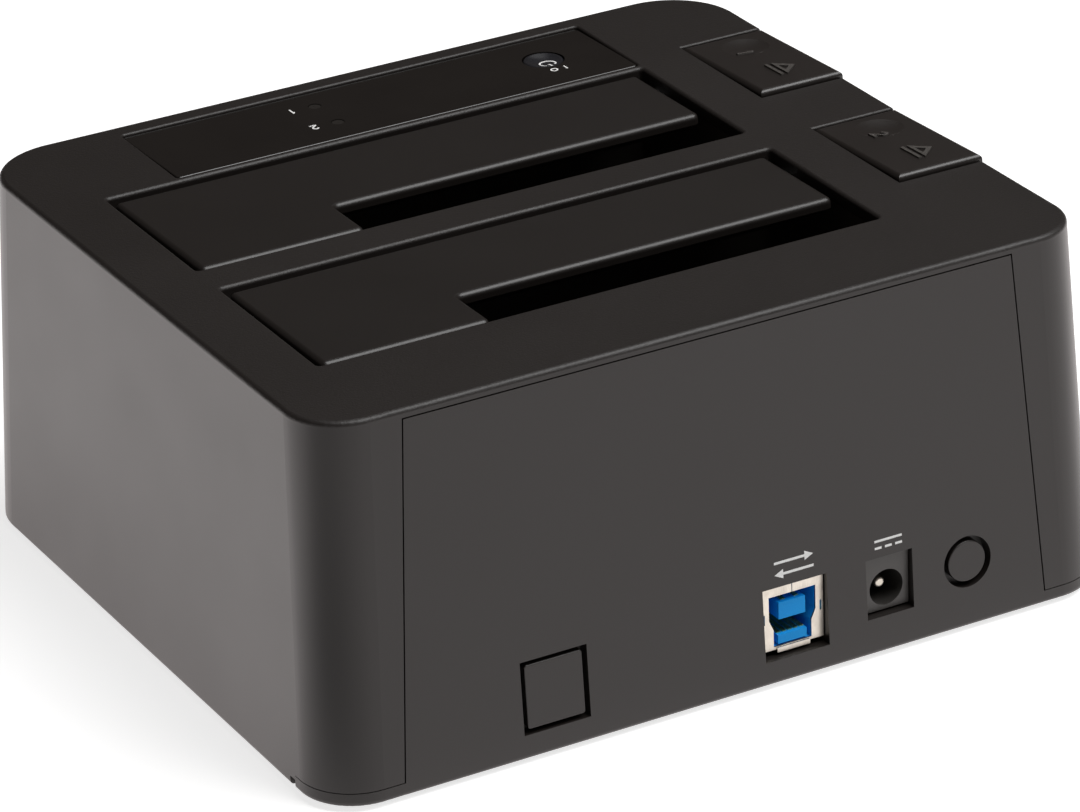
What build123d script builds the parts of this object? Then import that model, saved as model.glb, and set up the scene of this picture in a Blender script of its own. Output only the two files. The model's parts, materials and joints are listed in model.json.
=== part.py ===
from build123d import *
import os
from math import atan, degrees, pi, radians, sin, tan

# Docking station for two bare disk drives, in millimetres.
# Origin at the middle of the surface that it stands on. X runs along the two drive bays,
# Y from the indicator panel (front, -Y) to the connectors (rear, +Y), and Z up.

# Casing
casing_length = 152.2
casing_depth = 138.2
casing_height = 67.0
end_draft = 3.15
side_draft = 2.4
front_corner_radius = 13.6
rear_corner_radius = 10.2
wall = 2.2
top_thickness = 2.5
rim_height = 1.5
rim_round = 0.9
edge_round = 0.45
bay_edge_round = 0.7
seam_gap = 0.15
overrun = 5.0

# Base tray
base_strip = 2.4
base_floor = 2.0
base_edge_round = 0.8
tongue_height = 2.0
tongue_thickness = 1.2
tongue_clearance = 0.15
pry_slot_length = 1.8
pry_slot_height = 1.7
pry_slot_depth = 1.2
pry_slot_from_rear = 12.0
label_recess_length = 70.0
label_recess_depth = 36.0
label_recess_sink = 0.3

# Rear panel, the part of the base tray that stands up and closes the rear of the casing
panel_top_from_side = 18.6
panel_bottom_from_side = 14.0
panel_gap = 0.25
panel_lip_width = 2.5
panel_lip_root = 3.0

# Rear openings: middles along X from the rear panel's lower corners and from each other, and
# heights above the casing's lower edge
port_from_power = 18.5
port_cut_width = 12.5
port_cut_height = 13.2
port_cut_bottom = 4.4
power_from_round = 15.5
power_cut_width = 9.2
power_cut_height = 10.95
power_cut_bottom = 6.65
square_from_corner = 28.6
round_from_corner = 15.5
round_z = 12.1
round_hole_radius = 4.7
plug_gap = 0.85
round_plug_gap = 1.0
plug_corner_radius = 0.5
plug_sink = 0.15
plug_edge_round = 0.2
plug_flange = 1.5
plug_flange_thickness = 1.2
plug_seat = 0.1

# Drive bays
bay_left_margin = 30.65
bay_right_margin = 15.05
bay_rear_margin = 25.6
bay_bar = 8.6
bay_corner_radius = 0.8
well_clearance = 0.3
well_front_room = 0.8
well_floor_level = 26.0
well_floor = 2.0
well_wall = 1.4
frame_top_gap = 0.3
hinge_wall_cut = 0.5

# Doors
door_left_gap = 1.75
door_right_gap = 1.0
door_front_gap = 1.0
door_rear_gap = 0.45
door_thickness = 1.9
door_tilt = 0.8
door_front_sink = 0.65
door_corner_round = 1.1
door_round = 1.0
door_rib_height = 1.2
door_rib_width = 1.2
slot_land = 32.0
slot_width = 12.2
hinge_drop = 3.95
hinge_overhang = 1.9
hinge_barrel_radius = 1.9
hinge_rod_radius = 0.9
hinge_clearance = 0.08
hinge_rod_end = 1.6
door_spring_length = 8.0
door_spring_wire = 0.5
door_spring_radius = 1.5
door_spring_pitch = 0.75
door_spring_leg = 8.0
door_spring_room = 0.2

# Eject buttons
button_reach = 20.1
button_space = 17.0
button_offset = 8.15
button_spread = 1.0
button_clearance = 0.3
button_front_sink = 0.1
button_rear_rise = 1.0
button_skirt = 5.0
button_travel = 4.0
button_wall = 1.6
button_apron_overlap = 2.0
button_round = 0.9
button_apron_seat = 0.35
button_dimple_radius = 24.0
button_dimple_depth = 0.38
button_dimple_share = 0.2
button_dimple_side_share = 0.56
stem_from_side = 12.6
stem_radius = 2.4
stem_tip_radius = 2.0
stem_rest_gap = 0.3
guide_drop = 18.0
guide_thickness = 2.0
guide_half_width = 8.0
guide_reach = 5.5
clip_radius = 4.0
clip_thickness = 0.8
clip_groove = 0.6
clip_gap = 0.3
clip_play = 0.05
button_spring_radius = 3.6
button_spring_wire = 0.6
button_spring_turns = 6

# Eject levers
lever_pivot_from_bay = 5.05
lever_pivot_z = 22.5
lever_pin_radius = 1.5
lever_barrel_radius = 2.7
lever_thickness = 2.4
lever_pad_half_width = 4.0
lever_pad_reach = 3.2
lever_crown = 0.3
lever_finger_width = 7.0
lever_finger_from_wall = 2.6
lever_finger_reach = 11.5
lever_nub_length = 4.0
lever_nub_gap = 0.2
lever_clearance = 0.4
lever_pin_clearance = 0.05
lever_ear_thickness = 2.4
lever_ear_half_length = 3.6
lever_ear_rise = 12.0

# Indicator panel
indicator_left_margin = 30.6
indicator_right_margin = 29.5
indicator_front_margin = 7.9
indicator_depth = 22.7
indicator_bar = 1.4
indicator_thickness = 2.0
indicator_sink = 0.5
indicator_rear_sink = 0.05
indicator_gap = 0.15
indicator_corner_radius = 0.6
ledge_drop = 2.0
ledge_width = 2.0
ledge_end_width = 6.5
ledge_rise = 0.1
ledge_border = 1.5

# Power button and status lights
power_button_from_left = 12.6
power_button_from_front = 10.2
power_button_radius = 3.75
power_button_gap = 0.15
power_button_flange = 1.0
power_button_stem = 2.5
power_button_flange_thickness = 1.0
power_button_flange_gap = 0.2
power_button_travel = 0.8
power_button_dish_radius = 14.0
power_button_dish_depth = 0.35
power_button_sink = 0.1
switch_width = 6.0
switch_height = 3.5
switch_plunger_radius = 1.7
switch_plunger_rise = 1.6
switch_plunger_depth = 1.4
switch_plunger_play = 0.1
light_from_right = 34.9
light_1_from_front = 6.4
light_2_from_front = 15.5
light_pipe_radius = 1.1
light_pipe_gap = 0.1
light_pipe_seat = 0.1
led_width = 3.0
led_length = 2.2
led_height = 1.1

# Indicator board
indicator_board_thickness = 1.6
indicator_board_margin = 1.4
indicator_boss_radius = 2.6
indicator_boss_inset = 3.4

# Main board and its parts
board_underside = 18.5
board_thickness = 1.6
board_left_inset = 1.45
board_right_inset = 2.05
board_front_room = 3.0
board_rear_gap = 1.6
board_post_radius = 3.2
board_post_inset = 5.0
board_post_left_inset = 5.2
board_post_from_rear = 14.25
chip_width = 9.0
chip_height = 0.9
chip_from_middle = 16.45
crystal_length = 5.0
crystal_width = 3.2
crystal_height = 0.8
crystal_offset = 10.0
capacitor_radius = 3.15
capacitor_height = 7.7
capacitor_pitch = 8.5
capacitor_count = 4
capacitor_from_port = 18.6
capacitor_from_rear = 14.25
inductor_width = 7.0
inductor_height = 3.0
inductor_pitch = 9.5
inductor_count = 3
inductor_from_left = 10.0
inductor_from_rear = 26.25

# Drive connectors
drive_edge_gap = 1.45
drive_connector_offset = 30.12
drive_connector_from_wall = 4.1
socket_length = 42.0
socket_foot_width = 6.6
socket_body_length = 37.6
socket_body_width = 5.2
socket_engagement = 5.0
socket_slot_width = 1.5
socket_slot_depth = 4.4
socket_power_slot = 20.9
socket_data_slot = 10.4
socket_slot_bridge = 2.4
socket_hole_clearance = 0.5
contact_pitch = 1.27
contact_width = 0.6
contact_thickness = 0.25
contact_height = 3.8
power_contacts = 15
data_contacts = 7

# Data port
port_shell_width = 12.1
port_shell_height = 12.0
port_shell_depth = 17.0
port_shell_metal = 0.35
port_face_recess = 1.3
port_flange_width = 0.9
port_seam_width = 0.16
port_seam_depth = 6.0
port_side_slit_length = 1.9
port_side_slit_width = 0.3
port_side_slit_inset = 0.55
port_side_slit_depth = 0.5
port_wide_height = 6.3
port_wide_width = 9.1
port_narrow_height = 3.2
port_narrow_width = 7.4
port_key_chamfer = 1.9
port_lip_width = 6.4
port_lip_height = 0.9
port_lip_drop = 0.1
port_lip_rise = 0.35
port_mouth_top = 2.0
port_mouth_depth = 9.0
port_tongue_width = 5.2
port_tongue_height = 3.1
port_tongue_top = 1.5
port_small_tongue_height = 1.6
port_small_tongue_width = 5.6
port_small_tongue_bottom = 0.35
port_tongue_back = 0.1
port_contact_width = 0.8
port_contact_thickness = 0.2
port_contact_share = 0.8
port_large_tongue_contacts = 2
port_small_tongue_contacts = 5

# Power jack
jack_width = 8.8
jack_height = 10.4
jack_depth = 14.2
jack_recess = 1.3
jack_hole_radius = 3.3
jack_hole_depth = 11.0
jack_hole_from_board = 6.35
jack_pin_radius = 1.0
jack_pin_recess = 1.9

# Ribbon cable between the two boards
ribbon_from_right = 24.6
ribbon_from_rear = 4.7
ribbon_width = 10.0
ribbon_thickness = 0.8
ribbon_socket_length = 13.0
ribbon_socket_width = 4.6
ribbon_socket_height = 5.0
ribbon_slot_depth = 3.0
ribbon_slot_gap = 0.1
ribbon_bow = 4.5
ribbon_straight = 4.0
ribbon_bend_share = 0.7

# Screws, feet
small_screw_radius = 1.1
small_head_radius = 2.0
small_head_height = 1.3
small_screw_length = 6.0
screw_radius = 1.5
screw_head_radius = 2.8
screw_head_height = 1.8
screw_length = 12.0
screw_clearance = 0.1
screw_tip_room = 0.8
screw_slot_width = 0.6
screw_slot_depth = 0.7
screw_slot_length = 2.6
column_radius = 3.6
column_front_from_side = 18.1
column_front_from_end = 15.1
column_rear_from_side = 12.6
column_rear_from_end = 12.1
base_boss_radius = 4.6
base_boss_height = 8.0
base_boss_seat = 0.2
counterbore_radius = 3.3
counterbore_depth = 4.0
frame_ear_drop = 10.5
frame_ear_thickness = 3.0
frame_ear_radius = 4.0
frame_ear_reach = 4.2
frame_boss_radius = 3.2
frame_boss_gap = 0.05
frame_ear_right_offsets = (-10.9, 8.5)
frame_ear_left_offsets = (13.6, 13.0)
foot_height = 1.0
foot_radius = 6.0
foot_seat = 0.8
foot_round = 0.5
foot_clearance = 0.15
foot_from_side = 34.1
foot_from_end = 15.1

# Levels and edges that follow from the sizes above
seam_level = foot_height + base_strip
floor_level = foot_height + base_floor
top_level = foot_height + casing_height
plate_level = top_level - top_thickness
rim_level = top_level - rim_height
frame_top = plate_level - frame_top_gap
frame_ear_level = plate_level - frame_ear_drop
guide_level = top_level - guide_drop
board_top = board_underside + board_thickness
indicator_left_x = indicator_left_margin - casing_length / 2
indicator_right_x = casing_length / 2 - indicator_right_margin
indicator_front_y = indicator_front_margin - casing_depth / 2
indicator_rear_y = indicator_front_y + indicator_depth
bay_left_x = bay_left_margin - casing_length / 2
bay_right_x = casing_length / 2 - bay_right_margin
bay_middle_x = (bay_left_x + bay_right_x) / 2
bay_row_front = indicator_rear_y + indicator_bar
bay_row_rear = casing_depth / 2 - bay_rear_margin
bay_width = (bay_row_rear - bay_row_front - bay_bar) / 2
bay_pitch = bay_width + bay_bar
bay_1_y = bay_row_front + bay_width / 2
bay_2_y = bay_1_y + bay_pitch
bay_ys = (bay_1_y, bay_2_y)
door_left_x = bay_left_x + door_left_gap
door_right_x = bay_right_x - door_right_gap
hinge_z = top_level - door_front_sink - hinge_drop
slot_end = bay_right_x - slot_land
button_inner_x = button_reach - casing_length / 2
button_ys = (bay_1_y - button_offset, bay_2_y - button_offset + button_spread)
button_length = bay_pitch + button_spread - button_space
stem_x = stem_from_side - casing_length / 2
lever_pivot_x = bay_left_x - lever_pivot_from_bay
lever_arm = lever_pivot_x - stem_x
connector_x = bay_left_x + drive_edge_gap + drive_connector_offset
socket_top = well_floor_level + socket_engagement
ledge_level = plate_level - ledge_drop
indicator_seat = plate_level + ledge_rise
power_button_top = top_level - indicator_sink / 2 - power_button_sink
power_button_x = indicator_left_x + power_button_from_left
power_button_y = indicator_front_y + power_button_from_front
light_x = indicator_right_x - light_from_right
light_ys = (indicator_front_y + light_1_from_front, indicator_front_y + light_2_from_front)
ribbon_x = indicator_right_x - ribbon_from_right
ribbon_y = indicator_rear_y - ribbon_from_rear
board_left_x = bay_left_x + board_left_inset
board_right_x = bay_right_x - board_right_inset
board_front_y = ribbon_y - board_front_room
panel_half_top = casing_length / 2 - panel_top_from_side
panel_half_bottom = casing_length / 2 - panel_bottom_from_side
round_x = round_from_corner - panel_half_bottom
power_x = round_x + power_from_round
port_x = power_x + port_from_power
square_x = panel_half_bottom - square_from_corner
plunger_top = indicator_seat - power_button_flange_gap - power_button_flange_thickness - power_button_stem
indicator_board_top = plunger_top - switch_plunger_rise - switch_height
indicator_board_bottom = indicator_board_top - indicator_board_thickness
column_bottom = foot_height + base_boss_height + base_boss_seat
column_front = (casing_length / 2 - column_front_from_side, column_front_from_end - casing_depth / 2)
column_rear = (casing_length / 2 - column_rear_from_side, casing_depth / 2 - column_rear_from_end)
column_corners = (column_front, column_rear)
column_spots = [(side * x, y) for x, y in column_corners for side in (-1, 1)]
foot_x = casing_length / 2 - foot_from_side
foot_y = casing_depth / 2 - foot_from_end
foot_spots = [(side * foot_x, y) for y in (-foot_y, foot_y) for side in (-1, 1)]


def block(x0, x1, y0, y1, z0, z1):
    """Box between two opposite corners."""
    middle = Pos((x0 + x1) / 2, (y0 + y1) / 2, (z0 + z1) / 2)
    return middle * Box(x1 - x0, y1 - y0, z1 - z0)


def rod_up(x, y, z0, z1, radius):
    """Round rod that stands along Z."""
    return Pos(x, y, (z0 + z1) / 2) * Cylinder(radius, z1 - z0)


def rod_along_x(x0, x1, y, z, radius):
    """Round rod that lies along X."""
    return Pos((x0 + x1) / 2, y, z) * Rot(0, 90, 0) * Cylinder(radius, x1 - x0)


def rod_along_y(x, y0, y1, z, radius):
    """Round rod that lies along Y."""
    return Pos(x, (y0 + y1) / 2, z) * Rot(90, 0, 0) * Cylinder(radius, y1 - y0)


def prism_along_x(corners, x0, x1):
    """Prism between two places along X, over an outline in Y and Z."""
    face = Pos(x0, 0, 0) * (Plane.YZ * Polygon(*corners, align=None))
    return extrude(face, x1 - x0, dir=(1, 0, 0))


def prism_along_y(corners, y0, y1):
    """Prism between two places along Y, over an outline in X and Z."""
    face = Pos(0, y0, 0) * (Plane.XZ * Polygon(*corners, align=None))
    return extrude(face, y1 - y0, dir=(0, 1, 0))


def rounded_block(x0, x1, y0, y1, z0, z1, radius):
    """Upright prism with rounded vertical edges."""
    plan = RectangleRounded(x1 - x0, y1 - y0, radius)
    return Pos((x0 + x1) / 2, (y0 + y1) / 2, z0) * extrude(plan, z1 - z0)


def side_x(level, inset=0.0):
    """Half length of the drafted casing at a height."""
    return casing_length / 2 - (level - foot_height) * tan(radians(side_draft)) - inset


def rear_y(level, inset=0.0):
    """Rear face of the drafted casing at a height."""
    return casing_depth / 2 - (level - foot_height) * tan(radians(end_draft)) - inset


def outline(level, inset=0.0):
    """Plan of the casing at a height: large front corners, small rear corners."""
    plan = Rectangle(2 * side_x(level, inset), 2 * rear_y(level, inset))
    plan = fillet(plan.vertices().group_by(Axis.Y)[0], front_corner_radius - inset)
    plan = fillet(plan.vertices().group_by(Axis.Y)[-1], rear_corner_radius - inset)
    return Pos(0, 0, level) * plan


def casing_form(low, high, inset=0.0):
    """Solid drafted casing between two heights."""
    return loft([outline(low, inset), outline(high, inset)], ruled=True)


def rear_wedge(spread, low, high):
    """Trapezoid prism over the rear panel, wider towards the bottom."""
    lean = (panel_half_bottom - panel_half_top) / (rim_level - seam_level)
    wide = panel_half_bottom + spread + (seam_level - low) * lean
    narrow = panel_half_bottom + spread + (seam_level - high) * lean
    corners = [(-wide, low), (wide, low), (narrow, high), (-narrow, high)]
    return prism_along_y(corners, casing_depth / 4, casing_depth)


def rear_slab(spread, low, high, outside, inside):
    """Part of the rear wall between two insets, cut to the rear panel's trapezoid."""
    skin = casing_form(low, high, outside) - casing_form(low - overrun, high + overrun, inside)
    return skin & rear_wedge(spread, low, high)


def pan_screw(head_radius, head_height, shank_radius, length):
    """Screw with its head above the origin and its shank below, with a crossed recess."""
    head = Pos(0, 0, head_height / 2) * Cylinder(head_radius, head_height)
    head = fillet(head.edges().group_by(Axis.Z)[-1], head_height / 3)
    shank = Pos(0, 0, -length / 2) * Cylinder(shank_radius, length)
    recess = Box(screw_slot_length, screw_slot_width, 2 * screw_slot_depth)
    recess += Box(screw_slot_width, screw_slot_length, 2 * screw_slot_depth)
    return head + shank - Pos(0, 0, head_height) * recess


def coil(radius, wire, pitch, height):
    """Round wire wound about Z from the origin up."""
    path = Helix(pitch=pitch, height=height, radius=radius)
    section = Plane(origin=path @ 0, z_dir=path % 0) * Circle(wire / 2)
    return sweep(section, path=path)


def bay_front(bay_y):
    return bay_y - bay_width / 2


def bay_rear(bay_y):
    return bay_y + bay_width / 2


def hinge_y(bay_y):
    return bay_front(bay_y) + door_front_gap + hinge_overhang


def indicator_place():
    """Frame of the tilted indicator panel, with its origin on the rear upper edge."""
    run = indicator_rear_y - indicator_front_y
    tilt = degrees(atan((indicator_sink - indicator_rear_sink) / run))
    return Pos(0, indicator_rear_y, top_level - indicator_rear_sink) * Rot(tilt, 0, 0)


def frame_ear_spots():
    """Places of the four screws that hold the bay frame to the upper shell."""
    right = bay_right_x + well_clearance + well_wall + frame_ear_reach
    left = bay_left_x - well_clearance - well_wall - frame_ear_reach
    spots = [(right, bay_y + offset) for bay_y, offset in zip(bay_ys, frame_ear_right_offsets)]
    return spots + [(left, bay_y + offset) for bay_y, offset in zip(bay_ys, frame_ear_left_offsets)]


def board_rear(inset=0.0):
    """Rear edge of the main board, or a line in front of it."""
    return rear_y(board_top, wall) - board_rear_gap - inset


def board_post_spots():
    front = board_front_y + board_post_inset
    left = board_left_x + board_post_left_inset
    right = board_right_x - board_post_inset
    return [(right, front), (right, board_rear(board_post_inset)), (left, front),
            (left, board_rear(board_post_from_rear))]


def indicator_boss_spots():
    middle = (indicator_front_y + indicator_rear_y) / 2
    left = indicator_left_x + indicator_boss_inset
    right = indicator_right_x - indicator_boss_inset
    return [(left, middle), (right, middle)]


def upper_shell():
    """Casing shell, open below, with the bay, panel, button and rear openings."""
    shell = casing_form(seam_level, top_level)
    shell = fillet(shell.faces().sort_by(Axis.Z)[-1].edges(), rim_round)
    shell -= casing_form(seam_level - overrun, plate_level, wall)
    # Thicker border under the indicator panel
    border_left = indicator_left_x - ledge_border
    border_right = indicator_right_x + ledge_border
    border_front = indicator_front_y - ledge_border
    border_rear = indicator_rear_y + indicator_gap
    shell += block(border_left, border_right, border_front, border_rear, ledge_level, plate_level)
    for x, y in indicator_boss_spots():
        shell += rod_up(x, y, indicator_board_top, ledge_level, indicator_boss_radius)
    # Columns for the base screws and bosses for the bay frame
    for x, y in column_spots:
        shell += rod_up(x, y, column_bottom, plate_level, column_radius)
    for x, y in frame_ear_spots():
        low = frame_ear_level + frame_ear_thickness + frame_boss_gap
        shell += rod_up(x, y, low, plate_level, frame_boss_radius)
    screw_tip = foot_height + counterbore_depth + screw_length + screw_tip_room
    for x, y in column_spots:
        shell -= rod_up(x, y, column_bottom - overrun, screw_tip, screw_radius + screw_clearance)
    screw_tip = frame_ear_level + small_screw_length + screw_tip_room
    for x, y in frame_ear_spots():
        shell -= rod_up(x, y, frame_ear_level, screw_tip, small_screw_radius + screw_clearance)
    # Pocket and window for the indicator panel
    shell -= rounded_block(
        indicator_left_x - indicator_gap, indicator_right_x + indicator_gap,
        indicator_front_y - indicator_gap, indicator_rear_y + indicator_gap,
        indicator_seat, top_level + overrun, indicator_corner_radius + indicator_gap)
    window_left = indicator_left_x + ledge_end_width
    window_right = indicator_right_x - ledge_end_width
    window_front = indicator_front_y + ledge_width
    window_rear = indicator_rear_y - ledge_width
    shell -= block(window_left, window_right, window_front, window_rear,
                   ledge_level - overrun, top_level + overrun)
    screw_tip = indicator_board_bottom + small_screw_length + screw_tip_room
    for x, y in indicator_boss_spots():
        shell -= rod_up(x, y, indicator_board_bottom, screw_tip, small_screw_radius + screw_clearance)
    # Bay openings
    for bay_y in bay_ys:
        shell -= rounded_block(bay_left_x, bay_right_x, bay_front(bay_y), bay_rear(bay_y),
                               plate_level - overrun, top_level + overrun, bay_corner_radius)
    # Button openings, which run out through the side of the casing
    notch_level = top_level - button_skirt - button_travel - button_clearance
    for button_y in button_ys:
        front = button_y - button_length / 2
        shell -= block(-casing_length, button_inner_x, front, front + button_length,
                       notch_level, top_level + overrun)
    # Rounded edges of the openings
    top_face = shell.faces().filter_by(Axis.Z).sort_by(Axis.Z)[-1]
    rims = [edge for loop in top_face.inner_wires() for edge in loop.edges()]
    shell = fillet([edge for edge in rims if edge.center().Y < bay_row_front - edge_round], edge_round)
    top_face = shell.faces().filter_by(Axis.Z).sort_by(Axis.Z)[-1]
    rims = [edge for loop in top_face.inner_wires() for edge in loop.edges()]
    bay_rims = [edge for edge in rims if edge.center().Y > bay_row_front - edge_round / 2]
    shell = fillet(bay_rims, bay_edge_round)
    outer = shell.faces().filter_by(Axis.Z).sort_by(Axis.Z)[-1].outer_wire().edges()
    notch_ends = [middle + side * button_length / 2 for middle in button_ys for side in (-1, 1)]
    ends = [edge for edge in outer if min(abs(edge.center().Y - y) for y in notch_ends) < button_clearance]
    shell = fillet([edge for edge in ends if edge.center().X < button_inner_x], edge_round)
    # Opening for the rear panel, which stands up from the base tray
    behind = casing_form(seam_level - 2 * overrun, rim_level, 2 * wall)
    shell -= rear_wedge(0, seam_level - overrun, rim_level) - behind
    # Seam that shows around the rear, from the pry slot on
    return shell - block(-casing_length, casing_length, casing_depth / 2 - pry_slot_from_rear, casing_depth,
                         seam_level - overrun, seam_level + seam_gap)


def rear_openings():
    """Tools that cut the four openings in the rear panel, as one group."""
    near = casing_depth / 4
    far = casing_depth
    low = foot_height + port_cut_bottom
    tools = []
    for x in (port_x, square_x):
        tools.append(block(x - port_cut_width / 2, x + port_cut_width / 2, near, far,
                           low, low + port_cut_height))
    low = foot_height + power_cut_bottom
    tools.append(block(power_x - power_cut_width / 2, power_x + power_cut_width / 2, near, far,
                       low, low + power_cut_height))
    tools.append(rod_along_y(round_x, near, far, foot_height + round_z, round_hole_radius))
    return tools


def base_tray():
    """Floor, rim and rear panel in one moulding, with bosses for the screws and posts for the board."""
    tray = casing_form(foot_height, seam_level)
    tray = fillet(tray.faces().sort_by(Axis.Z)[0].edges(), base_edge_round)
    tray -= casing_form(floor_level, seam_level + overrun, wall)
    tongue_outside = wall + tongue_clearance
    tongue_inside = tongue_outside + tongue_thickness
    tongue_top = seam_level + tongue_height
    tongue = casing_form(floor_level, tongue_top, tongue_outside)
    tongue -= casing_form(floor_level - overrun, tongue_top + overrun, tongue_inside)
    tray += tongue - rear_wedge(panel_lip_width, floor_level, tongue_top)
    # Rear panel with lips that lie behind the edges of the shell
    panel_top = rim_level - panel_gap
    tray += rear_slab(-panel_gap, floor_level, panel_top, 0, wall)
    lip_inside = wall + tongue_clearance + tongue_thickness
    lip_top = plate_level - frame_top_gap
    lip_root = rear_slab(-panel_gap, floor_level, lip_top, wall / 2, lip_inside)
    lip_root -= rear_wedge(-panel_gap - panel_lip_root, floor_level - overrun, lip_top + overrun)
    lip = rear_slab(panel_lip_width, floor_level, lip_top, tongue_outside, lip_inside)
    lip -= rear_wedge(-panel_gap - panel_lip_root, floor_level - overrun, lip_top + overrun)
    tray += lip_root
    tray += lip
    for tool in rear_openings():
        tray -= tool
    # Pry slot in the lower edge of one side
    slot_rear = casing_depth / 2 - pry_slot_from_rear
    slot_left = casing_length / 2 - pry_slot_depth
    tray -= block(slot_left, casing_length, slot_rear - pry_slot_length, slot_rear,
                  foot_height - overrun, foot_height + pry_slot_height)
    # Bosses, posts, and seats of the feet
    for x, y in column_spots:
        tray += rod_up(x, y, foot_height + base_floor / 2, foot_height + base_boss_height, base_boss_radius)
    for x, y in board_post_spots():
        tray += rod_up(x, y, foot_height + base_floor / 2, board_underside, board_post_radius)
    for x, y in column_spots:
        tray -= rod_up(x, y, foot_height - overrun, column_bottom + overrun, screw_radius + screw_clearance)
        tray -= rod_up(x, y, foot_height - overrun, foot_height + counterbore_depth, counterbore_radius)
    for x, y in board_post_spots():
        low = board_top - small_screw_length - screw_tip_room
        tray -= rod_up(x, y, low, board_top, small_screw_radius + screw_clearance)
    for x, y in foot_spots:
        tray -= rod_up(x, y, foot_height - overrun, foot_height + foot_seat, foot_radius + foot_clearance)
    half_x = label_recess_length / 2
    half_y = label_recess_depth / 2
    tray -= block(-half_x, half_x, -half_y, half_y, foot_height - overrun, foot_height + label_recess_sink)
    return tray


def port_plug(cap, flange_cut):
    """Blanking plug: a cap in the opening and a flange behind the wall."""
    low = seam_level
    high = board_underside
    cap = cap & casing_form(low, high, plug_sink)
    cap = fillet(cap.faces().sort_by(Axis.Y)[-1].edges(), plug_edge_round)
    inner = wall + plug_seat
    behind = inner + plug_flange_thickness
    skin = casing_form(low, high, inner) - casing_form(low - overrun, high + overrun, behind)
    cap -= casing_form(low - overrun, high + overrun, behind)
    cap &= block(-casing_length, casing_length, 0, casing_depth, low, high)
    return cap + (skin & flange_cut)


def square_port_plug():
    """Plug of the unused square opening."""
    half = port_cut_width / 2 - plug_gap
    low = foot_height + port_cut_bottom + plug_gap
    high = foot_height + port_cut_bottom + port_cut_height - plug_gap
    plan = RectangleRounded(2 * half, high - low, plug_corner_radius)
    cap = Pos(square_x, casing_depth, (low + high) / 2) * (Plane.XZ * extrude(plan, casing_depth))
    spread = plug_gap + plug_flange
    cut = block(square_x - half - spread, square_x + half + spread, casing_depth / 4, casing_depth,
                seam_level + base_floor / 4, high + spread)
    return port_plug(cap, cut)


def round_port_plug():
    """Plug of the unused round opening."""
    level = foot_height + round_z
    cap = rod_along_y(round_x, 0, casing_depth, level, round_hole_radius - round_plug_gap)
    cut = rod_along_y(round_x, casing_depth / 4, casing_depth, level, round_hole_radius + plug_flange)
    return port_plug(cap, cut)


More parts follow.
